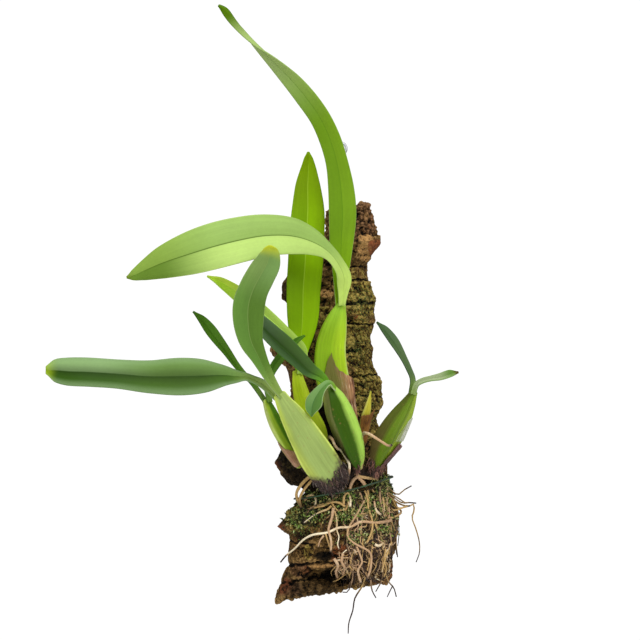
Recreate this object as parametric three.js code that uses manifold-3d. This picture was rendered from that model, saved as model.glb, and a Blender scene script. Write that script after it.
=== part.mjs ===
// An orchid with two leaves on each pseudobulb, grown on a hanging slab of bark.
// Millimetres. X runs to the right, Y away from the viewer into the wall, Z up.
// The origin lies inside the top of the hanger's eye, where a hook holds it.
// Points are written [x, out, z], with out measured from the slab's flat back to the viewer.

import * as THREE from 'three';
import { mergeVertices } from 'three/addons/utils/BufferGeometryUtils.js';
import Module from 'manifold-3d';

const wasm = await Module();
wasm.setup();
const { Manifold, Mesh: SolidMesh } = wasm;

// Clearances and wires
const seatGap = 0.3;
const wireRadius = 1;
const wireBack = 2.4;
const grooveRadius = 1.8;
const grooveDepth = 3;
const grooveLead = 6;
const grooveSteps = 100;
const eyeRadius = 4.7;
const eyeStart = -75;
const eyeEnd = 255;
const eyeStep = 30;
const twistRadius = 1.2;
const tieRadius = 0.7;
const hangerSteps = 84;
const tieSteps = 48;

// Leaves
const bladeThickness = 1.5;
const petioleThickness = 2.1;
const bladeColumns = [-1, -0.5, 0, 0.5, 1];
const bladeRowStep = 10;
const petioleFold = 0.85;
const leafRoot = 3;

// Pseudobulbs and sheaths
const bulbRows = 9;
const bulbCrispness = 5;
const cornerSpread = 14;
const skinChecks = 72;
const sheathThickness = 0.9;
const sheathLift = 0.45;
const sheathColumns = 8;
const sheathRows = 5;

// Bark slab: rows of [z, left, right] down its outline
const slabOutline = [
  [-43.5, 15, 19.5], [-46.5, 12, 22.5], [-49.5, -10, 23], [-55.5, -11.5, 25.5], [-63, -10.5, 27.5],
  [-68, -11.5, 27.5], [-71, -11.5, 30], [-76, -12, 31], [-80, -11.5, 27.5], [-86, -15, 23],
  [-91, -21, 20], [-96, -31.5, 20], [-100.5, -40.5, 21], [-105, -44, 22.5], [-110, -44.5, 24.5],
  [-116, -44.5, 27], [-119, -43, 27.5], [-121.5, -38.5, 25.5], [-127.5, -36, 26], [-133.5, -36, 27],
  [-139.5, -37.5, 25.5], [-145.5, -42, 23.5], [-151, -50.5, 24], [-155, -53.5, 25.5], [-160, -52, 24.5],
  [-164, -47.5, 24], [-168, -42, 25], [-172, -40, 27], [-176, -39, 30], [-182, -37.5, 32],
  [-190, -37.5, 32], [-200, -41.5, 33], [-203, -42, 30.5], [-207, -43, 27.5], [-211, -43.5, 27.5],
  [-215, -44.5, 30], [-223.5, -44.5, 33], [-232.5, -45, 34.5], [-238, -47.5, 35], [-241, -49.5, 36],
  [-244.5, -47.5, 36], [-251, -45, 36], [-258, -38.5, 37.5], [-261, -27, 38.5], [-265, -26.5, 39.5],
  [-268.5, -32.5, 41], [-273, -34.5, 43.5], [-276, -37, 44.5], [-279, -41.5, 44.5], [-283.5, -40.5, 44],
  [-287, -45, 44], [-290, -48, 43.5], [-293, -43.5, 43.5], [-296, -38.5, 43.5], [-307.5, -39, 42],
  [-314, -40, 39.5], [-319, -39, 40], [-323, -42, 39], [-329, -44.5, 39.5], [-332, -45, 36.5],
  [-334.5, -46, 24], [-337, -47, 9], [-340, -48, -9], [-343, -49.5, -28], [-346, -50.5, -42],
  [-349, -49, -45],
];

// How far the slab's front stands out from its back, as rows of [z, out]
const slabDepths = [
  [-43.5, 11], [-49.5, 19], [-76, 26], [-96, 25], [-120, 29], [-190, 31], [-230, 33],
  [-255, 38], [-275, 44], [-300, 46], [-323, 42], [-334, 34], [-343, 22], [-349, 12],
];
const slabEdge = 6;
const slabColumns = 14;
const slabRowStep = 5.6;
const slabEvenness = 0.6;
const slabRowLeast = 2;

// Plates of bark between the cracks
const plateWidth = 11;
const plateHeight = 15;
const plateLift = 5;
const plateCrack = 3;

// Cracks across the bark, as [z, depth]
const barkCracks = [
  [-91.5, 3.5], [-111, 3], [-121, 5], [-140, 2.5], [-156, 5], [-176, 3], [-198, 3], [-232, 3],
];
const crackHalfWidth = 1.7;

// Knots and hollows of the bark, as [x, z, half width, half height, lift]
const barkLumps = [
  [23, -76, 9, 5, 9],
  [17, -62, 6, 4, 5],
  [18, -51, 4, 4, 4],
  [8, -67, 5, 4, 4],
  [22, -150, 5, 7, 4],
  [-8, -216, 13, 18, -8],
  [-47, -242, 6, 6, 7],
  [-36, -262, 7, 6, 6],
  [-46, -290, 6, 4, 6],
  [-15, -317, 20, 3.5, 6],
  [-9, -326, 17, 7, -25],
  [5, -328, 4, 4, -10],
  [-12, -309, 9, 3, -7],
];

const colours = {
  bark: '#5c4630',
  wire: '#a9abad',
  tie: '#2f4437',
  rhizome: '#5b4a35',
  paleBulb: '#b9c774',
  darkBulb: '#6f8f35',
  brightBulb: '#8fbf3f',
  limeBulb: '#a3bf3a',
  oliveBulb: '#7b8f2c',
  yellowBulb: '#a8b82c',
  greyLeaf: '#6f9450',
  greenLeaf: '#5d8f3f',
  deepLeaf: '#3f7a24',
  blueLeaf: '#3f5f42',
  paleLeaf: '#93b65a',
  limeLeaf: '#6fa012',
  freshLeaf: '#9cc84a',
  brownSheath: '#9a6a4e',
  paleSheath: '#d8d8b4',
  shoot: '#b9b845',
  bract: '#a8742f',
  root: '#b39a62',
  paleRoot: '#d9c7a3',
  tanRoot: '#c08f66',
};

// Each pseudobulb runs from its top to its foot. Flats are the directions that its faces look in,
// in degrees round the axis, with 0 to the right and 90 to the viewer.
// Each leaf runs from its petiole's foot to its tip, with one width for each point of its spine.
// Faces are rows of [spine point, x, out, z], the direction that the upper side looks in there.
const growths = [
  {
    bulb: {
      colour: colours.paleBulb,
      spine: [
        [-46, 86, -188], [-42, 83, -195], [-37, 80, -203], [-32, 76, -211], [-25.5, 71, -222],
        [-19, 66, -233], [-11.5, 60, -244.5], [-6, 56, -252], [-2.5, 53, -256.5],
      ],
      widths: [10, 14, 19, 22.5, 25.5, 28, 27, 23, 16],
      flats: [90, 215, 325],
      depth: 0.86,
    },
    leaves: [
      {
        colour: colours.greyLeaf,
        spine: [
          [-45, 88.5, -189], [-51, 91, -181], [-56.5, 94, -171], [-61.5, 97, -160.5], [-67, 101, -148.5],
          [-69, 104, -135], [-68.5, 107, -122], [-65, 110, -111], [-59.5, 112, -100.5],
          [-54.5, 113, -91.5], [-52.5, 114, -84], [-52.5, 114, -80], [-52.5, 114, -78],
        ],
        widths: [4.5, 7.5, 10, 13.5, 19.5, 24, 25, 23, 22, 20, 15, 9, 2],
        faces: [[0, 0.6, 1, 0], [4, 0.35, 1, 0.1], [12, 0.1, 1, 0.2]],
        fold: 0.3,
        curl: 0.1,
      },
      {
        colour: colours.greenLeaf,
        spine: [
          [-48.5, 84, -190], [-53.5, 84.5, -185], [-59.5, 85, -180.5], [-65.5, 86, -178],
          [-70.5, 88, -176], [-76.5, 90, -176], [-86.5, 93, -175], [-101.5, 97, -175.5],
          [-120, 100, -176], [-142.5, 102, -176], [-165, 104, -174], [-187.5, 105, -172.5],
          [-202.5, 106, -172], [-212.5, 106, -171], [-219, 106, -171],
        ],
        widths: [5, 7, 7, 6, 6.5, 10, 17, 27, 30, 26, 23, 23, 22, 17.5, 6],
        faces: [[0, -0.3, 1, 0.5], [6, 0, 1, 0.4], [14, 0, 1, 0.25]],
        fold: 0.5,
        curl: 0.42,
      },
    ],
  },
  {
    bulb: {
      colour: colours.darkBulb,
      spine: [
        [-55.5, 64, -193.5], [-51.8, 61, -203], [-47.3, 58, -213], [-41.5, 55, -223.5],
        [-35.3, 52, -233], [-30, 48, -242],
      ],
      widths: [6, 9, 10.8, 11, 11, 9],
      flats: [60, 170, 300],
      depth: 0.9,
    },
    leaves: [
      {
        colour: colours.deepLeaf,
        spine: [
          [-57, 63, -193], [-62.5, 62, -186], [-67.5, 61, -179.5], [-73, 60, -174], [-79, 58, -167],
          [-85.5, 57, -158], [-92.5, 56, -149], [-98.5, 55, -141], [-104.5, 54, -133.5],
          [-110.5, 53, -127],
        ],
        widths: [4, 4, 4, 4.5, 5.5, 7, 9, 9.5, 6.5, 1.2],
        faces: [[0, 0.4, 1, 0.3], [9, 0.3, 1, 0.5]],
        fold: 0.35,
        curl: 0.1,
      },
      {
        colour: colours.deepLeaf,
        spine: [
          [-54, 66, -192.5], [-55, 66, -184.5], [-52, 66, -173], [-46, 67, -163.5], [-39, 68, -155],
          [-32.5, 68, -149], [-26.5, 67, -145],
        ],
        widths: [4, 4.5, 6, 7, 6, 4, 1.2],
        faces: [[0, 0.3, 1, 0.2], [6, -0.2, 1, 0.2]],
        fold: 0.4,
        curl: 0.1,
      },
    ],
  },
  {
    bulb: {
      colour: colours.brightBulb,
      spine: [
        [-8, 77, -183], [-4.5, 74, -191], [-1, 70, -201], [3, 66, -211.5], [6.5, 62, -222],
        [9.5, 58, -231], [12, 55, -238.5], [13.7, 52.5, -244.5],
      ],
      widths: [8, 16, 21, 22, 21.5, 19, 14, 7],
      flats: [55, 140, 270],
      depth: 0.95,
    },
    leaves: [
      {
        colour: colours.blueLeaf,
        spine: [
          [-9.5, 77, -182], [-13.5, 77.5, -177], [-22, 79, -169], [-30, 80, -160.5], [-39, 80, -151.5],
          [-49, 80, -142.5], [-57, 79, -135], [-64, 78, -128], [-69, 77, -123],
        ],
        widths: [5, 7.5, 14, 17, 19, 18, 15, 9, 1.5],
        faces: [[0, 0.1, 1, 0.3], [8, 0.1, 1, 0.2]],
        fold: 0.4,
        curl: 0.05,
      },
      {
        colour: colours.greyLeaf,
        spine: [
          [-5.5, 80.2, -182.8], [-8.5, 83.2, -181], [-13, 86, -184], [-17, 88, -189],
          [-19.8, 88.5, -194.5], [-21.2, 88, -200], [-21.4, 87, -205.5],
        ],
        widths: [4.5, 5, 6.5, 10, 13.5, 10, 1.2],
        faces: [[0, 0.3, 0.8, 0.9], [3, -0.3, 1, 0.2], [6, -0.2, 1, 0]],
        fold: 0.2,
        curl: 0.35,
      },
    ],
  },
  {
    bulb: {
      colour: colours.limeBulb,
      spine: [
        [1, 52, -121.5], [-1.5, 51, -130], [-4.5, 50, -141], [-7, 49, -154.5], [-7, 48, -168],
        [-4.5, 46.5, -182], [0, 44.5, -197], [5, 43, -212], [9.5, 42.5, -226],
      ],
      widths: [7, 13.5, 19.5, 23, 25, 25, 21, 15, 8],
      flats: [75, 180, 290],
      depth: 0.82,
    },
    leaves: [
      {
        colour: colours.greenLeaf,
        spine: [
          [-0.5, 52, -120.5], [-1.5, 53.5, -111], [0, 54.5, -96], [0.5, 55, -77], [1.5, 56, -55],
          [0.5, 57, -36], [-2.5, 59, -16], [-7.5, 61, 1.5], [-15, 64, 18], [-25.5, 68, 33],
          [-35.5, 71, 45], [-46, 75, 56], [-56.5, 79, 66.5], [-64.5, 82, 74], [-72, 85, 82],
          [-79.5, 88, 90], [-85.5, 90, 97], [-91, 91, 101],
        ],
        widths: [5, 7, 13, 18, 21, 20, 17, 16.5, 16, 16, 14.5, 12.5, 9.5, 7, 7, 7, 6, 1.5],
        faces: [
          [0, 0.2, 1, 0], [5, 0.1, 1, 0], [10, -0.3, 1, -0.2], [11.6, -0.62, 0.75, -0.55],
          [13, -0.62, 0, -0.77], [14.2, -0.55, -0.65, -0.6], [17, -0.1, -1, 0],
        ],
        fold: 0.3,
        curl: 0.1,
      },
      {
        colour: colours.paleLeaf,
        spine: [
          [2, 56, -120], [2, 60, -112], [2.5, 65, -102], [-1.5, 70, -92.5], [-9, 75, -83],
          [-20, 81, -76], [-36, 88, -71.3], [-56.5, 95, -71.2], [-75, 100, -74.5], [-94, 104, -79.3],
          [-112.5, 106, -85], [-131.5, 107, -91.3], [-146.5, 106, -97.5], [-154, 105, -100.8],
          [-159, 104, -102],
        ],
        widths: [5, 8, 13, 12, 13, 21, 29.5, 34, 36.5, 37, 34, 26, 15, 8, 1.5],
        faces: [[0, 0, 1, 0.2], [3, 0.4, 0.9, 0.5], [6, 0, 1, 0.35], [11, 0, 1, 0.35], [14, 0, 1, 0.2]],
        fold: 0.42,
        curl: 0.3,
      },
    ],
  },
  {
    bulb: {
      colour: colours.oliveBulb,
      spine: [
        [55, 64, -187.5], [51, 62, -196], [46.5, 61, -204], [41, 60, -213], [36, 58, -222],
        [31.5, 56, -231], [28.5, 54, -239], [27, 52, -246],
      ],
      widths: [6, 11, 16, 19.5, 21, 19.5, 15, 9],
      flats: [30, 125, 260],
      depth: 0.9,
    },
    leaves: [
      {
        colour: colours.greyLeaf,
        spine: [
          [54, 62.5, -186.5], [54, 60, -178.5], [51.3, 56, -171], [46.8, 52, -162], [39.5, 48, -150],
          [33, 45, -141.5], [27.5, 42, -135],
        ],
        widths: [4, 4.2, 4.5, 5.5, 8, 6.5, 1.2],
        faces: [[0, 0.2, 1, 0.2], [6, 0.4, 1, 0.6]],
        fold: 0.35,
        curl: 0.1,
      },
      {
        colour: colours.paleLeaf,
        spine: [
          [55.5, 66.5, -186.5], [57, 67, -182], [61.5, 67, -179.5], [67.5, 66, -178.2], [75, 65, -177],
          [82.5, 64, -174.5], [88.5, 63, -172.5],
        ],
        widths: [4, 4, 4.5, 5, 6.5, 6.5, 1.2],
        faces: [[0, 0.2, 1, 0.2], [3, -0.1, 1, 0.8], [6, 0, 1, 0.7]],
        fold: 0.6,
        curl: 0.1,
      },
    ],
  },
  {
    bulb: {
      colour: colours.yellowBulb,
      spine: [
        [-32.5, 47, -172], [-31, 47, -182], [-28, 46, -193.5], [-23.5, 45, -205], [-18, 44, -216],
        [-13, 42.5, -226],
      ],
      widths: [7, 10.5, 13.5, 15, 15, 10],
      flats: [80, 200, 320],
      depth: 0.8,
    },
    leaves: [
      {
        colour: colours.limeLeaf,
        spine: [
          [-32.5, 45, -171], [-30, 47, -160.5], [-29.5, 48, -147], [-28.5, 48, -132], [-28, 48, -111],
          [-26.5, 47, -90], [-25.5, 47, -70], [-24.5, 47, -51], [-24.5, 48, -32], [-24, 49, -19.5],
          [-24, 50, -11], [-24, 51, -7],
        ],
        widths: [4.5, 9, 18, 24, 26, 27, 27, 25, 19, 12, 6, 1.2],
        faces: [[0, 0.2, 1, 0], [6, 0.15, 1, 0], [11, 0, 1, -0.2]],
        fold: 0.28,
        curl: 0.1,
      },
      {
        colour: colours.freshLeaf,
        spine: [
          [-31, 49.5, -171], [-28, 53.5, -163.5], [-29.5, 57, -155], [-36, 59, -148.5],
          [-46, 60, -139], [-56.5, 60, -130], [-67, 60, -121], [-77.5, 59, -112.5], [-88.5, 58, -106],
          [-100, 57, -100.5],
        ],
        widths: [4.5, 6, 9, 12, 14, 16, 16, 14, 9, 1.2],
        faces: [[0, 0.2, 1, 0.2], [9, -0.1, 1, 0.4]],
        fold: 0.35,
        curl: 0.15,
      },
    ],
  },
];

// Sheaths: the part of a pseudobulb's skin that each covers. Torn is the share of the pseudobulb's
// length at which the sheath starts, as rows of [angle, share].
const sheaths = [
  {
    name: 'sheath_lime',
    colour: colours.brownSheath,
    bulb: 3,
    torn: [[-72, 0.8], [-35, 0.66], [0, 0.54], [20, 0.46], [40, 0.34], [62, 0.41], [85, 0.5], [108, 0.64]],
    foot: 0.93,
  },
  {
    name: 'sheath_dark',
    colour: colours.brownSheath,
    bulb: 1,
    torn: [[90, 0.86], [130, 0.72], [165, 0.62], [200, 0.66], [235, 0.7]],
    foot: 0.98,
  },
  {
    name: 'sheath_olive',
    colour: colours.brownSheath,
    bulb: 4,
    torn: [[-70, 0.72], [-30, 0.68], [5, 0.62], [25, 0.74], [60, 0.86], [105, 0.93]],
    foot: 0.99,
  },
  {
    name: 'sheath_olive_pale',
    colour: colours.paleSheath,
    bulb: 4,
    torn: [[-60, 0.36], [-25, 0.3], [5, 0.34], [25, 0.44]],
    foot: 0.58,
  },
];

// The creeping stem behind the pseudobulbs' feet, as [x, z] points on the bark
const rhizomeRadius = 4;
const rhizomeStep = 5;
const spurRadius = 2.6;
const spurReach = 0.4;
const rhizomeArms = [
  [[-28, -243], [-16.5, -251], [-4.5, -255], [5, -253], [12.5, -248], [20, -247], [28.5, -250]],
  [[-4.5, -255], [-7, -243], [-11, -230]],
  [[12.5, -248], [12, -239], [16, -229]],
];

// Roots on the bark: [x, z] points, start and end radius, and the root that each grows from
const matRoots = [
  {
    name: 'crown',
    radii: [1.5, 1.5],
    path: [[-12, -269], [-4, -266], [5, -265], [15, -263], [25.5, -260], [34.5, -259], [38, -261]],
  },
  {
    name: 'right_1',
    from: 'crown',
    radii: [1.3, 0.6],
    path: [
      [27, -261], [36, -266], [44, -272], [51.5, -274.5], [55.5, -273], [56, -277.5], [54.5, -283],
      [57.5, -292], [60, -302], [60, -310], [57.5, -317],
    ],
  },
  {
    name: 'right_2',
    from: 'crown',
    radii: [1.3, 1],
    path: [[30.5, -261], [39, -266], [46.5, -271.5], [52.5, -271.5], [57.5, -272]],
  },
  {
    name: 'right_3',
    from: 'crown',
    radii: [1.3, 1],
    path: [[22.5, -262], [32, -271], [40.5, -277], [48, -275], [52.5, -274]],
  },
  {
    name: 'down_1',
    from: 'crown',
    radii: [1.5, 0.6],
    path: [
      [19.5, -262], [21.5, -272], [23, -286], [24, -302], [21, -319], [16.5, -334], [11, -343.5],
      [9.5, -352.5], [6.5, -362], [6, -370],
    ],
  },
  {
    name: 'down_2',
    from: 'crown',
    radii: [1.4, 0.9],
    path: [[28.5, -261], [30.5, -272], [34.5, -285], [38, -298.5], [39, -313.5]],
  },
  {
    name: 'down_3',
    from: 'crown',
    radii: [1.4, 0.9],
    path: [[15.5, -263], [18, -274.5], [13.5, -282], [7.5, -292], [5, -302], [9, -313.5]],
  },
  {
    name: 'down_4',
    from: 'crown',
    radii: [1.6, 0.8],
    path: [[4.5, -265], [5, -274.5], [0, -281]],
  },
  {
    name: 'down_5',
    from: 'crown',
    radii: [1.2, 0.7],
    path: [[-6, -267], [-5.5, -278], [-2.5, -291], [0, -305]],
  },
  {
    name: 'down_6',
    from: 'crown',
    radii: [1.3, 0.8],
    path: [[34, -260], [35, -272], [38, -287], [38, -304.5], [35, -321]],
  },
  {
    name: 'arch',
    from: 'crown',
    radii: [1.4, 0.8],
    path: [[-1.5, -266], [-11.5, -271.5], [-22, -275], [-28, -286]],
  },
  {
    name: 'stub',
    from: 'crown',
    radii: [0.9, 0.7],
    path: [[36, -261], [43.5, -265.5], [48.5, -262], [54, -259]],
  },
  {
    name: 'crossing',
    from: 'down_6',
    radii: [1.5, 0.8],
    path: [
      [47, -280], [39, -284], [27, -286], [15.5, -285], [7.5, -289], [-1.5, -289.5], [-9, -293],
      [-21, -295], [-28, -299], [-34.5, -306], [-40.5, -311], [-45, -316.5],
    ],
  },
  {
    name: 'low_1',
    from: 'crossing',
    radii: [1.1, 0.7],
    path: [[-10, -293], [-8.5, -302], [-5.5, -310.5]],
  },
  {
    name: 'low_2',
    from: 'crossing',
    radii: [1.2, 0.6],
    path: [[25.5, -286], [28.5, -298.5], [31.5, -315], [36.5, -331], [40.5, -336], [42.5, -343]],
  },
  {
    name: 'low_3',
    from: 'down_1',
    radii: [1.1, 0.7],
    path: [[24, -302], [22.5, -315], [23, -328.5], [24, -337.5], [27, -343.5]],
  },
  {
    name: 'low_4',
    from: 'low_2',
    radii: [1, 0.6],
    path: [[31.5, -315], [31.5, -329], [27, -339]],
  },
  {
    name: 'low_5',
    from: 'down_3',
    radii: [1, 0.6],
    path: [[5, -302], [9, -315], [9.5, -327], [7.5, -335], [5, -339], [2, -339]],
  },
  {
    name: 'fringe',
    from: 'crossing',
    radii: [0.9, 0.6],
    path: [[43.5, -282], [42, -295], [42.5, -304.5], [43.5, -313]],
  },
];
const rootStep = 9;
const rootSides = 5;
const tightPasses = 4;
const rootSag = 0.5;

// Fine side roots, drawn with a fixed seed
const fineRoots = 16;
const fineSeed = 7;
const fineRadius = 0.8;
const fineParents = ['down_1', 'down_2', 'down_3', 'down_5', 'down_6', 'crossing', 'low_2', 'arch'];

// Roots that start at the creeping stem, with a radius for each end
const stemRootStep = 4;
const stemRoots = [
  {
    name: 'root_left',
    colour: colours.root,
    arms: [
      {
        radii: [1.5, 1],
        path: [
          [-19, 49, -251], [-24, 54, -252], [-30, 54, -258], [-33, 48, -264], [-31, 39, -271],
          [-29, 37, -275],
        ],
      },
      {
        radii: [1.2, 0.9],
        path: [[-19, 49, -251], [-23, 53, -255.5], [-28, 50, -262], [-30.5, 43, -268.5], [-29, 37, -275]],
      },
    ],
  },
  {
    name: 'root_middle',
    colour: colours.tanRoot,
    arms: [
      {
        radii: [1.6, 1.1],
        path: [[13, 49, -250.5], [10, 48.3, -253.5], [8, 47.2, -257.5], [7, 46.5, -261]],
      },
      {
        radii: [1.6, 1.1],
        path: [[13, 49, -250.5], [15, 48.6, -253], [18, 47, -256.5], [19, 46, -259]],
      },
      {
        radii: [1.3, 0.9],
        path: [[13, 49, -250.5], [20, 48.6, -252], [26, 47, -252.6], [29, 46.4, -252.8]],
      },
    ],
  },
  {
    name: 'root_pale',
    colour: colours.paleRoot,
    arms: [
      {
        radii: [0.9, 1],
        path: [
          [5, 50.5, -256], [5.5, 55, -252], [6.5, 59, -247], [6.5, 61, -241], [3.5, 60, -235.5],
          [0.5, 60, -231], [-2.5, 64, -229.5], [-4.5, 67, -226.5], [-6, 67, -223], [-8.5, 62, -220.5],
        ],
      },
    ],
  },
  {
    name: 'root_tan',
    colour: colours.tanRoot,
    arms: [
      {
        radii: [1.2, 0.8],
        path: [
          [13, 47, -234], [15, 50, -225], [17, 54, -219], [20.5, 62, -218.5], [26, 68, -221.5],
          [31.5, 70.5, -225], [36, 71, -227.5], [38.5, 70, -227],
        ],
      },
    ],
  },
];

// The young shoot and its bract
const shoot = {
  spine: [[16.5, 39, -227], [17.2, 43, -217], [19, 47, -206], [21, 49, -198], [22.6, 50, -188.5]],
  widths: [5, 6.5, 6.5, 4.6, 1.2],
  flats: [90, 180, 270, 360],
  depth: 0.75,
};
const bract = { torn: [[60, 0.58], [110, 0.64], [160, 0.72], [210, 0.7], [250, 0.5]], foot: 0.05 };

// The tie's route round the slab, as [x, out, z] in front and behind
const tiePath = [
  [-34.5, 10, -268.7], [-33.6, 22, -268.5], [-29.5, 33, -268], [-22, 42.5, -266.8], [-11, 48, -264.6],
  [0, 51.2, -263], [9, 52, -260.7], [18, 52, -258.2], [27, 50.5, -255.4], [34, 43.5, -253.2],
  [38.5, 31, -252.2], [39.6, 16, -252], [38.4, 4.5, -252], [34, 1.5, -252.8], [3, 1.4, -260.6],
  [-28, 1.5, -268.2], [-33.2, 3.6, -268.7],
];

// The hanger's route from its eye down through the slab and back, with a twisted neck between
const neckTop = -11;
const neckBottom = -25;
const neckSteps = 12;
const neckTurn = 3 * Math.PI;
const hangerFront = [[2, 8, -34], [4, 14, -43], [6, 20, -47.5], [7, 24.5, -53], [6.5, 25, -59.5]];
const hangerHole = [[6, 20, -61.5], [6, 10, -61.5], [6, 3.6, -61]];
const hangerBack = [[5.8, 1.5, -57], [4.6, 1.5, -47], [3, 1.8, -36]];

const at = (x, out, z) => new THREE.Vector3(x, wireBack - out, z);
const place = ([x, out, z]) => at(x, out, z);
const toViewer = new THREE.Vector3(0, -1, 0);
const radians = THREE.MathUtils.degToRad;

// Values between the rows of a list whose first column is the key
function keyed(rows, key) {
  const rising = rows[0][0] < rows[rows.length - 1][0];
  let i = 1;
  while (i < rows.length - 1 && (rising ? key > rows[i][0] : key < rows[i][0])) {
    i += 1;
  }
  const low = rows[i - 1];
  const high = rows[i];
  const share = THREE.MathUtils.clamp((key - low[0]) / (high[0] - low[0]), 0, 1);
  return low.slice(1).map((value, k) => THREE.MathUtils.lerp(value, high[k + 1], share));
}

// A repeatable number from 0 to 1 for a whole-numbered place
function draw(a, b, seed) {
  const wave = Math.sin(a * 127.1 + b * 311.7 + seed * 74.7) * 43758.5453;
  return wave - Math.floor(wave);
}

// Smooth noise from -1 to 1 with lumps of the given size
function noise(x, z, size, seed) {
  const u = x / size;
  const v = z / size;
  const a = Math.floor(u);
  const b = Math.floor(v);
  const s = THREE.MathUtils.smoothstep(u - a, 0, 1);
  const t = THREE.MathUtils.smoothstep(v - b, 0, 1);
  const near = THREE.MathUtils.lerp(draw(a, b, seed), draw(a + 1, b, seed), s);
  const far = THREE.MathUtils.lerp(draw(a, b + 1, seed), draw(a + 1, b + 1, seed), s);
  return THREE.MathUtils.lerp(near, far, t) * 2 - 1;
}

function geometryFrom(positions, index) {
  const geometry = new THREE.BufferGeometry();
  geometry.setAttribute('position', new THREE.Float32BufferAttribute(positions, 3));
  geometry.setIndex(index);
  return geometry;
}

// Turn a closed geometry's faces outwards
function facingOut(geometry) {
  const points = geometry.attributes.position;
  const index = geometry.index;
  const [a, b, c] = [new THREE.Vector3(), new THREE.Vector3(), new THREE.Vector3()];
  let volume = 0;
  for (let i = 0; i < index.count; i += 3) {
    a.fromBufferAttribute(points, index.getX(i));
    b.fromBufferAttribute(points, index.getX(i + 1));
    c.fromBufferAttribute(points, index.getX(i + 2));
    volume += a.dot(b.cross(c));
  }
  if (volume < 0) {
    index.array.reverse();
  }
  return geometry;
}

// A closed body between two grids of points, split alike on both faces
function plate(columns, rows, high, low) {
  const positions = [];
  const index = [];
  const count = (columns + 1) * (rows + 1);
  for (const surface of [high, low]) {
    for (let row = 0; row <= rows; row += 1) {
      for (let column = 0; column <= columns; column += 1) {
        positions.push(...surface(column, row).toArray());
      }
    }
  }
  const id = (column, row) => row * (columns + 1) + column;
  const wall = (p, q) => index.push(q, p, p + count, q, p + count, q + count);
  for (let row = 0; row < rows; row += 1) {
    for (let column = 0; column < columns; column += 1) {
      const [a, b] = [id(column, row), id(column + 1, row)];
      const [c, d] = [id(column + 1, row + 1), id(column, row + 1)];
      index.push(a, b, c, a, c, d);
      index.push(a + count, c + count, b + count, a + count, d + count, c + count);
    }
  }
  for (let column = 0; column < columns; column += 1) {
    wall(id(column, 0), id(column + 1, 0));
    wall(id(column + 1, rows), id(column, rows));
  }
  for (let row = 0; row < rows; row += 1) {
    wall(id(columns, row), id(columns, row + 1));
    wall(id(0, row + 1), id(0, row));
  }
  return facingOut(geometryFrom(positions, index));
}

// A closed body through rings of points, with a fan over each end
function loft(rings) {
  const sides = rings[0].length;
  const positions = rings.flat().flatMap((point) => point.toArray());
  const index = [];
  for (let ring = 0; ring < rings.length - 1; ring += 1) {
    for (let side = 0; side < sides; side += 1) {
      const a = ring * sides + side;
      const b = ring * sides + ((side + 1) % sides);
      index.push(a, b, b + sides, a, b + sides, a + sides);
    }
  }
  for (const ring of [0, rings.length - 1]) {
    const middle = rings[ring].reduce((sum, point) => sum.add(point), new THREE.Vector3());
    const centre = positions.length / 3;
    positions.push(...middle.divideScalar(sides).toArray());
    for (let side = 0; side < sides; side += 1) {
      const a = ring * sides + side;
      const b = ring * sides + ((side + 1) % sides);
      index.push(...(ring === 0 ? [b, a, centre] : [a, b, centre]));
    }
  }
  return facingOut(geometryFrom(positions, index));
}

function solid(geometry) {
  const bare = geometry.clone();
  bare.deleteAttribute('normal');
  bare.deleteAttribute('uv');
  const merged = mergeVertices(bare, 1e-4);
  return new Manifold(new SolidMesh({
    numProp: 3,
    vertProperties: new Float32Array(merged.attributes.position.array),
    triVerts: new Uint32Array(merged.index.array),
  }));
}

function geometryOf(body) {
  const mesh = body.getMesh();
  return geometryFrom(Array.from(mesh.vertProperties), Array.from(mesh.triVerts));
}

// Cut a body by others and keep its largest part
function carve(body, cutters) {
  const cut = cutters.reduce((rest, cutter) => rest.subtract(cutter), body);
  return cut.decompose().reduce((a, b) => (a.volume() > b.volume() ? a : b));
}

const routeOf = (points) => new THREE.CatmullRomCurve3(points.map(place));
const spread = (values) => new THREE.SplineCurve(values.map((value, i) => new THREE.Vector2(i, value)));

// A direction square to the path, as near as possible to the one asked for
function squareTo(along, wanted) {
  return wanted.clone().addScaledVector(along, -wanted.dot(along)).normalize();
}

// A leaf's spine with its first point sunk into the top of its pseudobulb
function rooted(spine, bulb) {
  const down = place(bulb.spine[1]).sub(place(bulb.spine[0])).setLength(leafRoot);
  return [place(spine[0]).add(down), ...spine.slice(1).map(place)];
}

// One leaf: a petiole that opens into a blade folded along its midrib
function leafBody({ spine, widths, faces, fold, curl }, bulb) {
  const curve = new THREE.CatmullRomCurve3(rooted(spine, bulb));
  const width = spread(widths);
  const rows = THREE.MathUtils.clamp(Math.round(curve.getLength() / bladeRowStep), 10, 20);
  const frames = [];
  for (let row = 0; row <= rows; row += 1) {
    const share = row / rows;
    const t = curve.getUtoTmapping(0.5 * share + 0.5 * Math.sin((share * Math.PI) / 2));
    const along = curve.getTangent(t);
    const [x, out, z] = keyed(faces, t * (spine.length - 1));
    const face = squareTo(along, new THREE.Vector3(x, -out, z));
    const half = width.getPoint(t).y / 2;
    const open = THREE.MathUtils.smoothstep(half, 2, 7);
    frames.push({
      middle: curve.getPoint(t),
      side: new THREE.Vector3().crossVectors(along, face),
      face,
      half,
      rise: THREE.MathUtils.lerp(petioleFold, fold, open),
      thickness: THREE.MathUtils.lerp(petioleThickness, bladeThickness, open),
    });
  }
  const surface = (lift) => (column, row) => {
    const { middle, side, face, half, rise, thickness } = frames[row];
    const across = bladeColumns[column];
    const thin = thickness * (0.5 - 0.2 * Math.abs(across));
    const height = half * (rise * Math.abs(across) - curl * across * across) + lift * thin;
    return middle.clone().addScaledVector(side, across * half).addScaledVector(face, height);
  };
  return plate(bladeColumns.length - 1, rows, surface(1), surface(-1));
}

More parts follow.
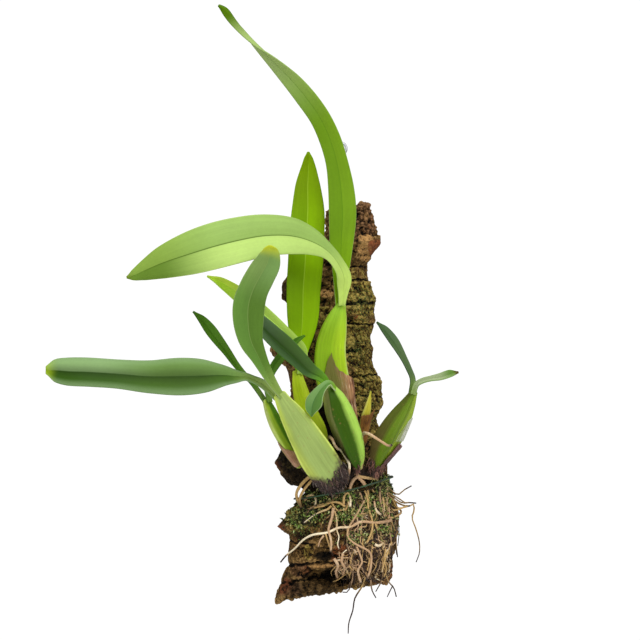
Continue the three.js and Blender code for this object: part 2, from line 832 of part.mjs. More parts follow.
// The skin of a pseudobulb: a point for a share of its length, an angle and a growth outwards
function bulbSkin({ spine, widths, flats, depth }) {
  const curve = routeOf(spine);
  const width = spread(widths);
  const reach = (angle) => {
    const pull = flats.map((flat) => Math.max(0, Math.cos(radians(angle - flat))) ** bulbCrispness);
    return pull.reduce((sum, value) => sum + value, 0) ** (-1 / bulbCrispness);
  };
  const around = Array.from({ length: skinChecks }, (_, i) => (i * 360) / skinChecks);
  const span = (axis) => {
    const values = around.map((angle) => reach(angle) * axis(radians(angle)));
    const [low, high] = [Math.min(...values), Math.max(...values)];
    return { middle: (low + high) / 2, half: (high - low) / 2 };
  };
  const broad = span(Math.cos);
  const deep = span(Math.sin);
  return (share, angle, grow = 0) => {
    const t = curve.getUtoTmapping(share);
    const along = curve.getTangent(t);
    const front = squareTo(along, toViewer);
    const side = new THREE.Vector3().crossVectors(front, along);
    const half = width.getPoint(t).y / 2;
    const far = reach(angle);
    const across = ((far * Math.cos(radians(angle)) - broad.middle) * half) / broad.half;
    const forward = ((far * Math.sin(radians(angle)) - deep.middle) * half * depth) / deep.half;
    const radius = Math.hypot(across, forward);
    const scale = (radius + grow) / radius;
    return curve.getPoint(t)
      .addScaledVector(side, across * scale)
      .addScaledVector(front, forward * scale);
  };
}

function bulbBody(bulb, grow = 0) {
  const skin = bulbSkin(bulb);
  const count = bulb.flats.length;
  const angles = bulb.flats.flatMap((flat, i) => {
    const next = i === count - 1 ? bulb.flats[0] + 360 : bulb.flats[i + 1];
    const corner = (flat + next) / 2;
    return [flat, corner - cornerSpread, corner, corner + cornerSpread];
  });
  const rings = [];
  for (let row = 0; row <= bulbRows; row += 1) {
    rings.push(angles.map((angle) => skin(row / bulbRows, angle, grow)));
  }
  const curve = routeOf(bulb.spine);
  rings[0].forEach((point) => point.addScaledVector(curve.getTangent(0), -grow));
  rings[bulbRows].forEach((point) => point.addScaledVector(curve.getTangent(1), grow));
  return loft(rings);
}

// A papery patch that follows a pseudobulb's skin
function sheathBody(bulb, torn, foot) {
  const skin = bulbSkin(bulb);
  const first = torn[0][0];
  const last = torn[torn.length - 1][0];
  const surface = (grow) => (column, row) => {
    const angle = THREE.MathUtils.lerp(first, last, column / sheathColumns);
    const [top] = keyed(torn, angle);
    return skin(THREE.MathUtils.lerp(top, foot, row / sheathRows), angle, grow);
  };
  return plate(sheathColumns, sheathRows, surface(sheathLift + sheathThickness), surface(sheathLift));
}

// A round stem or root that tapers along a smooth path
function stemBody(points, radii, sides = 6, grow = 0) {
  const last = points.length - 1;
  const opening = points[1].clone().sub(points[0]).normalize();
  let front = Math.abs(opening.y) > 0.9 ? new THREE.Vector3(0, 0, 1) : toViewer;
  const rings = points.map((point, i) => {
    const before = points[Math.max(0, i - 1)];
    const after = points[Math.min(last, i + 1)];
    const along = after.clone().sub(before).normalize();
    front = squareTo(along, front);
    const side = new THREE.Vector3().crossVectors(front, along);
    const radius = THREE.MathUtils.lerp(radii[0], radii[1], i / last) + grow;
    const beyond = grow * ((i === last) - (i === 0));
    const middle = point.clone().addScaledVector(along, beyond);
    return Array.from({ length: sides }, (_, k) => {
      const angle = (k / sides) * Math.PI * 2;
      return middle.clone()
        .addScaledVector(side, Math.cos(angle) * radius)
        .addScaledVector(front, Math.sin(angle) * radius);
    });
  });
  return loft(rings);
}

function stepsAlong(curve, step) {
  return curve.getSpacedPoints(Math.max(2, Math.round(curve.getLength() / step)));
}

// The lift of the bark's plates, which stand at different heights with cracks between them
function plates(x, z) {
  const column = Math.floor(x / plateWidth);
  const row = Math.floor(z / plateHeight);
  const near = [];
  for (let a = column - 1; a <= column + 1; a += 1) {
    for (let b = row - 1; b <= row + 1; b += 1) {
      const middleX = (a + 0.15 + 0.7 * draw(a, b, 4)) * plateWidth;
      const middleZ = (b + 0.15 + 0.7 * draw(a, b, 5)) * plateHeight;
      const away = Math.hypot(x - middleX, ((z - middleZ) * plateWidth) / plateHeight);
      near.push([away, draw(a, b, 6) - 0.5]);
    }
  }
  near.sort((p, q) => p[0] - q[0]);
  const [[first, lift], [second]] = near;
  return plateLift * lift - plateCrack * Math.exp(-(((second - first) / 2) ** 2));
}

// The bark's front, as a distance out from its flat back
function barkOut(x, z) {
  const [left, right] = keyed(slabOutline, z);
  const [depth] = keyed(slabDepths, z);
  const share = THREE.MathUtils.clamp((x - left) / (right - left), 0, 1);
  const arch = Math.sqrt(1 - Math.abs(2 * share - 1) ** 2.6);
  const underRoots = THREE.MathUtils.smoothstep(-z, 255, 270) * THREE.MathUtils.smoothstep(x, -32, -18);
  const rough = (0.3 + 0.7 * arch) * (1 - 0.6 * underRoots);
  let out = slabEdge + (depth - slabEdge) * arch;
  out += rough * (1.6 * noise(x, z, 7, 2) + plates(x, z));
  for (const [crackZ, crackDepth] of barkCracks) {
    const offset = z - crackZ - 1.6 * noise(x, crackZ, 9, 3);
    out -= rough * crackDepth * Math.exp(-((offset / crackHalfWidth) ** 2));
  }
  for (const [lumpX, lumpZ, halfWidth, halfHeight, lift] of barkLumps) {
    const away = ((x - lumpX) / halfWidth) ** 2 + ((z - lumpZ) / halfHeight) ** 2;
    out += lift * Math.exp(-away) * (0.35 + 0.65 * arch);
  }
  return Math.max(4, out);
}

function barkSlab() {
  const marks = [...slabOutline.map(([z]) => z), ...barkCracks.map(([z]) => z)].sort((a, b) => b - a);
  const levels = marks.flatMap((z, i) => {
    const next = marks[i + 1] ?? z;
    const parts = Math.max(1, Math.ceil((z - next) / slabRowStep));
    return Array.from({ length: parts }, (_, part) => THREE.MathUtils.lerp(z, next, part / parts));
  });
  const kept = levels.filter((z, i) => i === 0 || levels[i - 1] - z > slabRowLeast);
  const rings = kept.map((z) => {
    const [left, right] = keyed(slabOutline, z);
    const front = Array.from({ length: slabColumns + 1 }, (_, column) => {
      const even = column / slabColumns;
      const crowded = 0.5 - 0.5 * Math.cos(even * Math.PI);
      const x = THREE.MathUtils.lerp(left, right, THREE.MathUtils.lerp(crowded, even, slabEvenness));
      return at(x, barkOut(x, z), z);
    });
    return [at(left, 0, z), ...front, at(right, 0, z)];
  });
  return loft(rings);
}

// The hanger: one wire through the slab, twisted into a neck below a round eye
function hangerCurve() {
  const points = [];
  const eyeMiddle = wireRadius - eyeRadius;
  for (let angle = eyeStart; angle <= eyeEnd; angle += eyeStep) {
    const turn = radians(angle);
    points.push(at(eyeRadius * Math.cos(turn), wireBack, eyeMiddle + eyeRadius * Math.sin(turn)));
  }
  const leg = (phase, step) => {
    const turn = phase + (step / neckSteps) * neckTurn;
    const z = THREE.MathUtils.lerp(neckTop, neckBottom, step / neckSteps);
    return at(twistRadius * Math.cos(turn), wireBack + twistRadius * Math.sin(turn), z);
  };
  for (let step = 0; step <= neckSteps; step += 1) {
    points.push(leg(Math.PI, step));
  }
  points.push(...[...hangerBack].reverse().map(place), ...[...hangerHole].reverse().map(place));
  points.push(...[...hangerFront].reverse().map(place));
  for (let step = neckSteps; step >= 0; step -= 1) {
    points.push(leg(0, step));
  }
  return new THREE.CatmullRomCurve3(points, true);
}

const loop = (curve, steps, radius, sides) => new THREE.TubeGeometry(curve, steps, radius, sides, true);

// A groove for the part of a wire that runs behind the slab, in order along an axis
function grooveBody(curve, axis) {
  const slabTop = slabOutline[0][0];
  const points = curve.getSpacedPoints(grooveSteps)
    .filter((point) => point.y > wireBack - grooveDepth && point.z < slabTop + grooveLead)
    .sort((p, q) => q[axis] - p[axis]);
  return stemBody(points, [grooveRadius, grooveRadius], 8);
}

// The slab, drilled for the hanger and grooved behind for both wires
const hanger = hangerCurve();
const tie = new THREE.CatmullRomCurve3(tiePath.map(place), true);
const bark = carve(solid(barkSlab()), [
  solid(loop(hanger, hangerSteps, wireRadius + seatGap, 6)),
  solid(grooveBody(hanger, 'z')),
  solid(loop(tie, tieSteps, tieRadius + seatGap, 6)),
  solid(grooveBody(tie, 'x')),
]);

// How far out the bark's front stands under a point, or null beside the slab
const barkMesh = new THREE.Mesh(geometryOf(bark), new THREE.MeshStandardMaterial());
const sight = new THREE.Raycaster();
function barkUnder(x, z) {
  sight.set(at(x, 200, z), new THREE.Vector3(0, 1, 0));
  const [hit] = sight.intersectObject(barkMesh);
  return hit ? wireBack - hit.point.y : null;
}

// The bark's highest point within a reach of a point, or null beside the slab
function barkAround(x, z, reach) {
  const steps = [-1, -0.5, 0, 0.5, 1];
  const found = steps.flatMap((dx) => steps.map((dz) => barkUnder(x + dx * reach, z + dz * reach)));
  const heights = found.filter((out) => out !== null);
  return heights.length ? Math.max(...heights) : null;
}

// Lay a root along the bark, drawn tight over its bumps
function layOnBark(path, radii, start) {
  const flat = new THREE.SplineCurve(path.map(([x, z]) => new THREE.Vector2(x, z)));
  const steps = stepsAlong(flat, rootStep);
  const last = steps.length - 1;
  const seats = steps.map(({ x, y: z }, i) => {
    const radius = THREE.MathUtils.lerp(radii[0], radii[1], i / last);
    const under = barkAround(x, z, 1.5 * radius);
    return under === null ? null : under + radius + seatGap;
  });
  const firm = [];
  seats.forEach((seat) => firm.push(seat ?? firm[firm.length - 1] ?? wireBack - start.y));
  if (start) {
    firm[0] = Math.max(firm[0], wireBack - start.y);
  }
  for (let pass = 0; pass < tightPasses; pass += 1) {
    for (let i = 1; i < last; i += 1) {
      firm[i] = Math.max(firm[i], (firm[i - 1] + firm[i + 1]) / 2 - rootSag);
    }
  }
  return steps.map(({ x, y: z }, i) => at(x, firm[i], z));
}

function nearest(points, spot) {
  return points.reduce((best, point) => {
    return point.distanceTo(spot) < best.distanceTo(spot) ? point : best;
  });
}

// The point of a laid root that seems nearest from the front
function nearestSeen(points, [x, z]) {
  const away = (point) => Math.hypot(point.x - x, point.z - z);
  return points.reduce((best, point) => (away(point) < away(best) ? point : best));
}

// The root mat: the crown, the roots that grow from it, and fine side roots
function rootNet() {
  const laid = {};
  const bodies = [];
  const grow = (name, path, radii, parent, sides) => {
    const start = parent ? nearestSeen(parent, path[0]) : null;
    const route = start ? [[start.x, start.z], ...path.slice(1)] : path;
    const points = layOnBark(route, radii, start);
    if (start) {
      points[0].copy(start);
    }
    laid[name] = points;
    bodies.push(solid(stemBody(points, radii, sides)));
  };
  for (const { name, path, radii, from } of matRoots) {
    grow(name, path, radii, laid[from], rootSides);
  }
  for (let i = 0; i < fineRoots; i += 1) {
    const parent = laid[fineParents[i % fineParents.length]];
    const span = Math.max(1, Math.min(parent.length - 2, 7));
    const start = parent[1 + Math.floor(draw(i, 1, fineSeed) * span)];
    const turn = radians(-90 + (draw(i, 2, fineSeed) - 0.5) * 110);
    const length = 16 + 20 * draw(i, 3, fineSeed);
    const bend = (draw(i, 4, fineSeed) - 0.5) * 9;
    const end = [start.x + Math.cos(turn) * length, start.z + Math.sin(turn) * length];
    const middle = [(start.x + end[0]) / 2 + bend, (start.z + end[1]) / 2];
    const [left, right] = keyed(slabOutline, end[1]);
    if (end[1] > -322 && end[0] > left + 8 && end[0] < right - 2) {
      grow('fine_' + i, [[start.x, start.z], middle, end], [fineRadius, fineRadius], parent, 4);
    }
  }
  return carve(Manifold.union(bodies), [barkSeat]);
}

// The creeping stem's middle lines, laid on the bark
const rhizomeLines = rhizomeArms.map((arm) => {
  const flat = new THREE.SplineCurve(arm.map(([x, z]) => new THREE.Vector2(x, z)));
  return stepsAlong(flat, rhizomeStep).map(({ x, y: z }) => {
    return at(x, barkAround(x, z, rhizomeRadius) + rhizomeRadius + seatGap, z);
  });
});

// Short spurs from the creeping stem up into the pseudobulbs' feet
const spurLines = growths.map(({ bulb: { spine } }) => {
  const foot = place(spine[spine.length - 1]);
  const inside = foot.clone().lerp(place(spine[spine.length - 2]), spurReach);
  return [nearest(rhizomeLines.flat(), foot), inside];
});

function rhizomeBody(grow) {
  const arms = rhizomeLines.map((line) => stemBody(line, [rhizomeRadius, rhizomeRadius], 7, grow));
  const spurs = spurLines.map((line) => stemBody(line, [spurRadius, spurRadius], 6, grow));
  return Manifold.union([...arms, ...spurs].map(solid));
}

// Forms that the pieces lying on the bark, the creeping stem and the pseudobulbs are trimmed by
const barkSeat = bark.translate(0, -seatGap, 0);
const rhizome = carve(rhizomeBody(0), [barkSeat]);
const rhizomeSeat = rhizomeBody(seatGap);
const bulbSeats = growths.map(({ bulb }) => solid(bulbBody(bulb, seatGap)));

const plant = new THREE.Group();

function add(name, geometry, colour, roughness, metalness = 0) {
  geometry.computeVertexNormals();
  const material = new THREE.MeshStandardMaterial({ color: colour, roughness, metalness });
  const mesh = new THREE.Mesh(geometry, material);
  mesh.name = name;
  plant.add(mesh);
}

add('bark_slab', geometryOf(bark), colours.bark, 0.95);
add('hanger_wire', loop(hanger, hangerSteps, wireRadius, 5), colours.wire, 0.35, 1);
add('tie_wire', loop(tie, tieSteps, tieRadius, 4), colours.tie, 0.5);
add('rhizome', geometryOf(rhizome), colours.rhizome, 0.85);

growths.forEach(({ bulb, leaves }, i) => {
  const number = i + 1;
  const bulbSolid = carve(solid(bulbBody(bulb)), [rhizomeSeat, barkSeat]);
  add('pseudobulb_' + number, geometryOf(bulbSolid), bulb.colour, 0.4);
  leaves.forEach((leaf, k) => {
    const body = carve(solid(leafBody(leaf, bulb)), [bulbSeats[i]]);
    add('leaf_' + number + 'ab'[k], geometryOf(body), leaf.colour, 0.45);
  });
});

for (const { name, colour, bulb, torn, foot } of sheaths) {
  const body = solid(sheathBody(growths[bulb].bulb, torn, foot));
  add(name, geometryOf(carve(body, [barkSeat, rhizomeSeat, ...bulbSeats])), colour, 0.8);
}

for (const { name, colour, arms } of stemRoots) {
  const bodies = arms.map(({ path, radii }) => {
    const points = path.map(place);
    const curve = new THREE.CatmullRomCurve3([nearest(rhizomeLines.flat(), points[0]), ...points]);
    return solid(stemBody(stepsAlong(curve, stemRootStep), radii, rootSides));
  });
  const body = carve(Manifold.union(bodies), [barkSeat, rhizomeSeat, ...bulbSeats]);
  add(name, geometryOf(body), colour, 0.8);
}

const shootSeat = solid(bulbBody(shoot, seatGap));
const shootBody = carve(solid(bulbBody(shoot)), [barkSeat, rhizomeSeat, ...bulbSeats]);
add('new_shoot', geometryOf(shootBody), colours.shoot, 0.5);
const bractCutters = [shootSeat, barkSeat, rhizomeSeat, ...bulbSeats];
const bractBody = carve(solid(sheathBody(shoot, bract.torn, bract.foot)), bractCutters);
add('shoot_bract', geometryOf(bractBody), colours.bract, 0.8);

add('root_net', geometryOf(rootNet()), colours.root, 0.85);

export default plant;
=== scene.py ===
# An orchid with two leaves on each pseudobulb, grown on a hanging slab of bark.
# Metres inside the scene; the tables below are in millimetres, as [x, out, z] with out measured
# from the slab's flat back to the viewer.
import math
import random

import bpy
import numpy as np
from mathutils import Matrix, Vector, noise
from mathutils.bvhtree import BVHTree


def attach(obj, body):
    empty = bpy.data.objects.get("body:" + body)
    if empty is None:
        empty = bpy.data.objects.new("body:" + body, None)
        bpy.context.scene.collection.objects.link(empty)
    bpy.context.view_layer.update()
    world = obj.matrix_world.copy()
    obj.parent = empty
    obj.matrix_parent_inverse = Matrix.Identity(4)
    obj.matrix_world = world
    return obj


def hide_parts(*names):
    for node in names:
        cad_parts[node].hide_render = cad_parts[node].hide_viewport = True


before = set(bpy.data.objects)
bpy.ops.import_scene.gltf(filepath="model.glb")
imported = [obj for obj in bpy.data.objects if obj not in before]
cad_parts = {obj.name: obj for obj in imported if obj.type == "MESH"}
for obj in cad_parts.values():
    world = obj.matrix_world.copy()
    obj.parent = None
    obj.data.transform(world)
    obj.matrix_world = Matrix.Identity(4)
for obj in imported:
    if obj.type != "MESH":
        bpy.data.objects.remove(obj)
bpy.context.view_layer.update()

bl_info = {
    "name": "Bark mounted orchid",
    "version": (1, 0, 0),
    "blender": (4, 5, 0),
    "location": "View3D > Sidebar > Orchid",
    "description": "Builds an orchid on a slab of bark, piece by piece, round its packed frame",
    "category": "Object",
}

# Metres in a millimetre, how far the slab's flat back lies behind the hanger's eye, and the radii of
# the hanger's wire, of its eye, of its twisted neck and of the tie
MM = 0.001
WIRE_BACK = 2.4
WIRE_RADIUS = 1
EYE_RADIUS = 4.7
TWIST_RADIUS = 1.2
TIE_RADIUS = 0.7

# How deep a leaf's foot sits in its pseudobulb, how crisp a pseudobulb's edges are where its row says
# nothing else, how far a sheath lies over the skin, and the size of the rhizome's faces
LEAF_ROOT = 3
BULB_CRISPNESS = 5
SHEATH_LIFT = 0.45
RHIZOME_GRAIN = 0.8

# The seed of the vector noise that warps the bark's plates. Without one, Blender takes it from the clock.
BARK_SEED = 7

# The grids of faces that the pieces start from, and the steps along the wires
BULB_COLUMNS = 60
BULB_ROWS = 48
BULB_CAP = 4
SHEATH_COLUMNS = 90
SHEATH_ROWS = 24
HANGER_STEPS = 420
TIE_STEPS = 220

# The half widths between which a petiole opens into a blade, and how steeply a petiole is folded
BLADE_OPENS = (2, 7)
PETIOLE_FOLD = 0.85

# The stage, in metres: the floor, the strength of the light that the camera sees and that the ground
# casts, the lights as name, place, width and power, and the camera
FLOOR_RADIUS = 0.9
FLOOR_HEIGHT = -0.45
SEEN_LIGHT = 1.05
CAST_LIGHT = 0.2
AIM = Vector((-0.03, -0.04, -0.15))
LIGHTS = (
    ("key", (0.8, -1.7, 1.3), 1.7, 46),
    ("fill", (-1.5, -1.5, 0.5), 1.6, 15),
    ("top", (-0.2, 0.1, 1.6), 0.9, 12),
)
CAMERA_PLACE = (-0.01525, -5.0526, -0.1335)
CAMERA_LENS = 375
CAMERA_SENSOR = 36


# Bark slab: rows of [z, left, right] down its outline
SLAB_OUTLINE = [
    [-43.5, 15, 19.5], [-46.5, 12, 22.5], [-49.5, -10, 23], [-55.5, -11.5, 25.5], [-63, -10.5, 27.5],
    [-68, -11.5, 27.5], [-71, -11.5, 30], [-76, -12, 31], [-80, -11.5, 27.5], [-86, -15, 23],
    [-91, -21, 20], [-96, -31.5, 20], [-100.5, -40.5, 21], [-105, -44, 22.5], [-110, -44.5, 24.5],
    [-116, -44.5, 27], [-119, -43, 27.5], [-121.5, -38.5, 25.5], [-127.5, -36, 26], [-133.5, -36, 27],
    [-139.5, -37.5, 25.5], [-145.5, -42, 23.5], [-151, -50.5, 24], [-155, -53.5, 25.5], [-160, -52, 24.5],
    [-164, -47.5, 24], [-168, -42, 25], [-172, -40, 27], [-176, -39, 30], [-182, -37.5, 32],
    [-190, -37.5, 32], [-200, -41.5, 33], [-203, -42, 30.5], [-207, -43, 27.5], [-211, -43.5, 27.5],
    [-215, -44.5, 30], [-223.5, -44.5, 33], [-232.5, -45, 34.5], [-238, -47.5, 35], [-241, -49.5, 36],
    [-244.5, -47.5, 36], [-251, -45, 36], [-258, -38.5, 37.5], [-261, -27, 38.5], [-265, -26.5, 39.5],
    [-268.5, -32.5, 41], [-273, -34.5, 43.5], [-276, -37, 44.5], [-279, -41.5, 44.5], [-283.5, -40.5, 44],
    [-287, -45, 44], [-290, -48, 43.5], [-293, -43.5, 43.5], [-296, -38.5, 43.5], [-307.5, -39, 42],
    [-314, -40, 39.5], [-319, -39, 40], [-323, -42, 39], [-329, -44.5, 39.5], [-332, -45, 36.5],
    [-334.5, -46, 24], [-337, -47, 9], [-340, -48, -9], [-343, -49.5, -28], [-346, -50.5, -42],
    [-349, -49, -45],
]

# The pseudobulbs, each from its top to its foot, with one width for each point of its spine. Flats are
# the directions that its faces look in, in degrees round the axis, with 0 to the right and 90 to the
# viewer.
BULBS = [
    {"spine": [[-46, 86, -188], [-42, 83, -195], [-37, 80, -203], [-32, 76, -211], [-25.5, 71, -222],
               [-19, 66, -233], [-11.5, 60, -244.5], [-6, 56, -252], [-2.5, 53, -256.5]],
     "widths": [10, 14, 19, 22.5, 25.5, 28, 27, 23, 16], "flats": [90, 215, 325], "depth": 0.86},
    {"spine": [[-55.5, 64, -193.5], [-51.8, 61, -203], [-47.3, 58, -213], [-41.5, 55, -223.5],
               [-35.3, 52, -233], [-30, 48, -242]],
     "widths": [6, 9, 10.8, 11, 11, 9], "flats": [60, 170, 300], "crispness": 3.6, "depth": 0.9},
    {"spine": [[-8, 77, -183], [-4.5, 74, -191], [-1, 70, -201], [3, 66, -211.5], [6.5, 62, -222],
               [9.5, 58, -231], [12, 55, -238.5], [13.7, 52.5, -244.5]],
     "widths": [8, 16, 21, 22, 21.5, 19, 14, 7], "flats": [74, 158, 286], "crispness": 3.4, "depth": 0.95},
    {"spine": [[1, 52, -121.5], [-1.5, 51, -130], [-4.5, 50, -141], [-7, 49, -154.5], [-7, 48, -168],
               [-4.5, 46.5, -182], [0, 44.5, -197], [5, 43, -212], [9.5, 42.5, -226]],
     "widths": [7, 13.5, 19.5, 23, 25, 25, 21, 15, 8], "flats": [75, 180, 290], "depth": 0.82},
    {"spine": [[55, 64, -187.5], [51, 62, -196], [46.5, 61, -204], [41, 60, -213], [36, 58, -222],
               [31.5, 56, -231], [28.5, 54, -239], [27, 52, -246]],
     "widths": [6, 11, 16, 19.5, 21, 19.5, 15, 9], "flats": [30, 125, 260], "depth": 0.9},
    {"spine": [[-32.5, 47, -172], [-31, 47, -182], [-28, 46, -193.5], [-23.5, 45, -205], [-18, 44, -216],
               [-13, 42.5, -226]],
     "widths": [7, 10.5, 13.5, 15, 15, 10], "flats": [80, 200, 320], "depth": 0.8},
]

# The leaves, each from its petiole's foot to its tip, with one width for each point of its spine. Faces
# are rows of [spine point, x, out, z], the direction that the upper side looks in there. The number in
# a leaf's name is its pseudobulb's.
LEAVES = {
    "leaf_1a": {"spine": [[-45, 88.5, -189], [-51, 91, -181], [-56.5, 94, -171], [-61.5, 97, -160.5],
                          [-67, 101, -148.5], [-69, 104, -135], [-68.5, 107, -122], [-65, 110, -111],
                          [-59.5, 112, -100.5], [-54.5, 113, -91.5], [-52.5, 114, -84], [-52.5, 114, -80],
                          [-52.5, 114, -78]],
                "widths": [4.5, 7.5, 10, 13.5, 19.5, 24, 25, 23, 22, 20, 15, 9, 2],
                "faces": [[0, 0.6, 1, 0], [4, 0.35, 1, 0.1], [12, 0.1, 1, 0.2]], "fold": 0.3, "curl": 0.1},
    "leaf_1b": {"spine": [[-48.5, 84, -190], [-53.5, 84.5, -185], [-59.5, 85, -180.5], [-65.5, 86, -178],
                          [-70.5, 88, -176], [-76.5, 90, -176], [-86.5, 93, -175], [-101.5, 97, -175.5],
                          [-120, 100, -176], [-142.5, 102, -176], [-165, 104, -174], [-187.5, 105, -172.5],
                          [-202.5, 106, -172], [-212.5, 106, -171], [-219, 106, -171]],
                "widths": [5, 7, 7, 6, 6.5, 10, 17, 27, 30, 26, 23, 23, 22, 17.5, 6],
                "faces": [[0, -0.3, 1, 0.5], [6, 0, 1, 0.4], [14, 0, 1, 0.25]], "fold": 0.5, "curl": 0.42},
    "leaf_2a": {"spine": [[-57, 63, -193], [-62.5, 62, -186], [-67.5, 61, -179.5], [-73, 60, -174],
                          [-79, 58, -167], [-85.5, 57, -158], [-92.5, 56, -149], [-98.5, 55, -141],
                          [-104.5, 54, -133.5], [-110.5, 53, -127]],
                "widths": [4, 4, 4, 4.5, 5.5, 7, 9, 9.5, 6.5, 1.2],
                "faces": [[0, 0.4, 1, 0.3], [9, 0.3, 1, 0.5]], "fold": 0.35, "curl": 0.1},
    "leaf_2b": {"spine": [[-54, 66, -192.5], [-55, 66, -184.5], [-52, 66, -173], [-46, 67, -163.5],
                          [-39, 68, -155], [-32.5, 68, -149], [-26.5, 67, -145]],
                "widths": [4, 4.5, 6, 7, 6, 4, 1.2], "faces": [[0, 0.3, 1, 0.2], [6, -0.2, 1, 0.2]],
                "fold": 0.4, "curl": 0.1},
    "leaf_3a": {"spine": [[-9.5, 77, -182], [-13.5, 77.5, -177], [-22, 79, -169], [-30, 80, -160.5],
                          [-39, 80, -151.5], [-49, 80, -142.5], [-57, 79, -135], [-64, 78, -128],
                          [-69, 77, -123]],
                "widths": [5, 7.5, 14, 17, 19, 18, 15, 9, 1.5],
                "faces": [[0, 0.1, 1, 0.3], [8, 0.1, 1, 0.2]], "fold": 0.4, "curl": 0.05},
    "leaf_3b": {"spine": [[-5.5, 80.2, -182.8], [-8.5, 83.2, -181], [-13, 86, -184], [-17, 88, -189],
                          [-19.8, 88.5, -194.5], [-21.2, 88, -200], [-21.4, 87, -205.5]],
                "widths": [4.5, 5, 6.5, 10, 13.5, 10, 1.2],
                "faces": [[0, 0.3, 0.8, 0.9], [3, -0.3, 1, 0.2], [6, -0.2, 1, 0]], "fold": 0.2,
                "curl": 0.35},
    "leaf_4a": {"spine": [[-0.5, 52, -120.5], [-1.5, 53.5, -111], [0, 54.5, -96], [0.5, 55, -77],
                          [1.5, 56, -55], [0.5, 57, -36], [-2.5, 59, -16], [-7.5, 61, 1.5], [-15, 64, 18],
                          [-25.5, 68, 33], [-35.5, 71, 45], [-46, 75, 56], [-56.5, 79, 66.5],
                          [-64.5, 82, 74], [-72, 85, 82], [-79.5, 88, 90], [-85.5, 90, 97], [-91, 91, 101]],
                "widths": [5, 7, 13, 18, 21, 20, 17, 16.5, 16, 16, 14.5, 12.5, 9.5, 7, 7, 7, 6, 1.5],
                "faces": [[0, 0.2, 1, 0], [5, 0.1, 1, 0], [10, -0.3, 1, -0.2], [11.6, -0.62, 0.75, -0.55],
                          [13, -0.62, 0, -0.77], [14.2, -0.55, -0.65, -0.6], [17, -0.1, -1, 0]],
                "fold": 0.3, "curl": 0.1},
    "leaf_4b": {"spine": [[2, 56, -120], [2, 60, -112], [2.5, 65, -102], [-1.5, 70, -92.5], [-9, 75, -83],
                          [-20, 81, -76], [-36, 88, -71.3], [-56.5, 95, -71.2], [-75, 100, -74.5],
                          [-94, 104, -79.3], [-112.5, 106, -85], [-131.5, 107, -91.3], [-146.5, 106, -97.5],
                          [-154, 105, -100.8], [-159, 104, -102]],
                "widths": [5, 8, 13, 12, 13, 21, 29.5, 34, 36.5, 37, 34, 26, 15, 8, 1.5],
                "faces": [[0, 0, 1, 0.2], [3, 0.4, 0.9, 0.5], [6, 0, 1, 0.35], [11, 0, 1, 0.35],
                          [14, 0, 1, 0.2]],
                "fold": 0.42, "curl": 0.3},
    "leaf_5a": {"spine": [[54, 62.5, -186.5], [54, 60, -178.5], [51.3, 56, -171], [46.8, 52, -162],
                          [39.5, 48, -150], [33, 45, -141.5], [27.5, 42, -135]],
                "widths": [4, 4.2, 4.5, 5.5, 8, 6.5, 1.2], "faces": [[0, 0.2, 1, 0.2], [6, 0.4, 1, 0.6]],
                "fold": 0.35, "curl": 0.1},
    "leaf_5b": {"spine": [[55.5, 66.5, -186.5], [57, 67, -182], [61.5, 67, -179.5], [67.5, 66, -178.2],
                          [75, 65, -177], [82.5, 64, -174.5], [88.5, 63, -172.5]],
                "widths": [4, 4, 4.5, 5, 6.5, 6.5, 1.2],
                "faces": [[0, 0.2, 1, 0.2], [3, -0.1, 1, 0.8], [6, 0, 1, 0.7]], "fold": 0.6, "curl": 0.1},
    "leaf_6a": {"spine": [[-32.5, 45, -171], [-30, 47, -160.5], [-29.5, 48, -147], [-28.5, 48, -132],
                          [-28, 48, -111], [-26.5, 47, -90], [-25.5, 47, -70], [-24.5, 47, -51],
                          [-24.5, 48, -32], [-24, 49, -19.5], [-24, 50, -11], [-24, 51, -7]],
                "widths": [4.5, 9, 18, 24, 26, 27, 27, 25, 19, 12, 6, 1.2],
                "faces": [[0, 0.2, 1, 0], [6, 0.15, 1, 0], [11, 0, 1, -0.2]], "fold": 0.28, "curl": 0.1},
    "leaf_6b": {"spine": [[-31, 49.5, -171], [-28, 53.5, -163.5], [-29.5, 57, -155], [-36, 59, -148.5],
                          [-46, 60, -139], [-56.5, 60, -130], [-67, 60, -121], [-77.5, 59, -112.5],
                          [-88.5, 58, -106], [-100, 57, -100.5]],
                "widths": [4.5, 6, 9, 12, 14, 16, 16, 14, 9, 1.2],
                "faces": [[0, 0.2, 1, 0.2], [9, -0.1, 1, 0.4]], "fold": 0.35, "curl": 0.15},
}

# Leaves that are folded unevenly: how much of the left and the right half's width shows to the
# front, and how far the midrib lies to the left, as shares of the half width
UNEVEN_FOLDS = {"leaf_3a": (0.65, 1, 0.55), "leaf_6b": (1, 0.7, 0)}

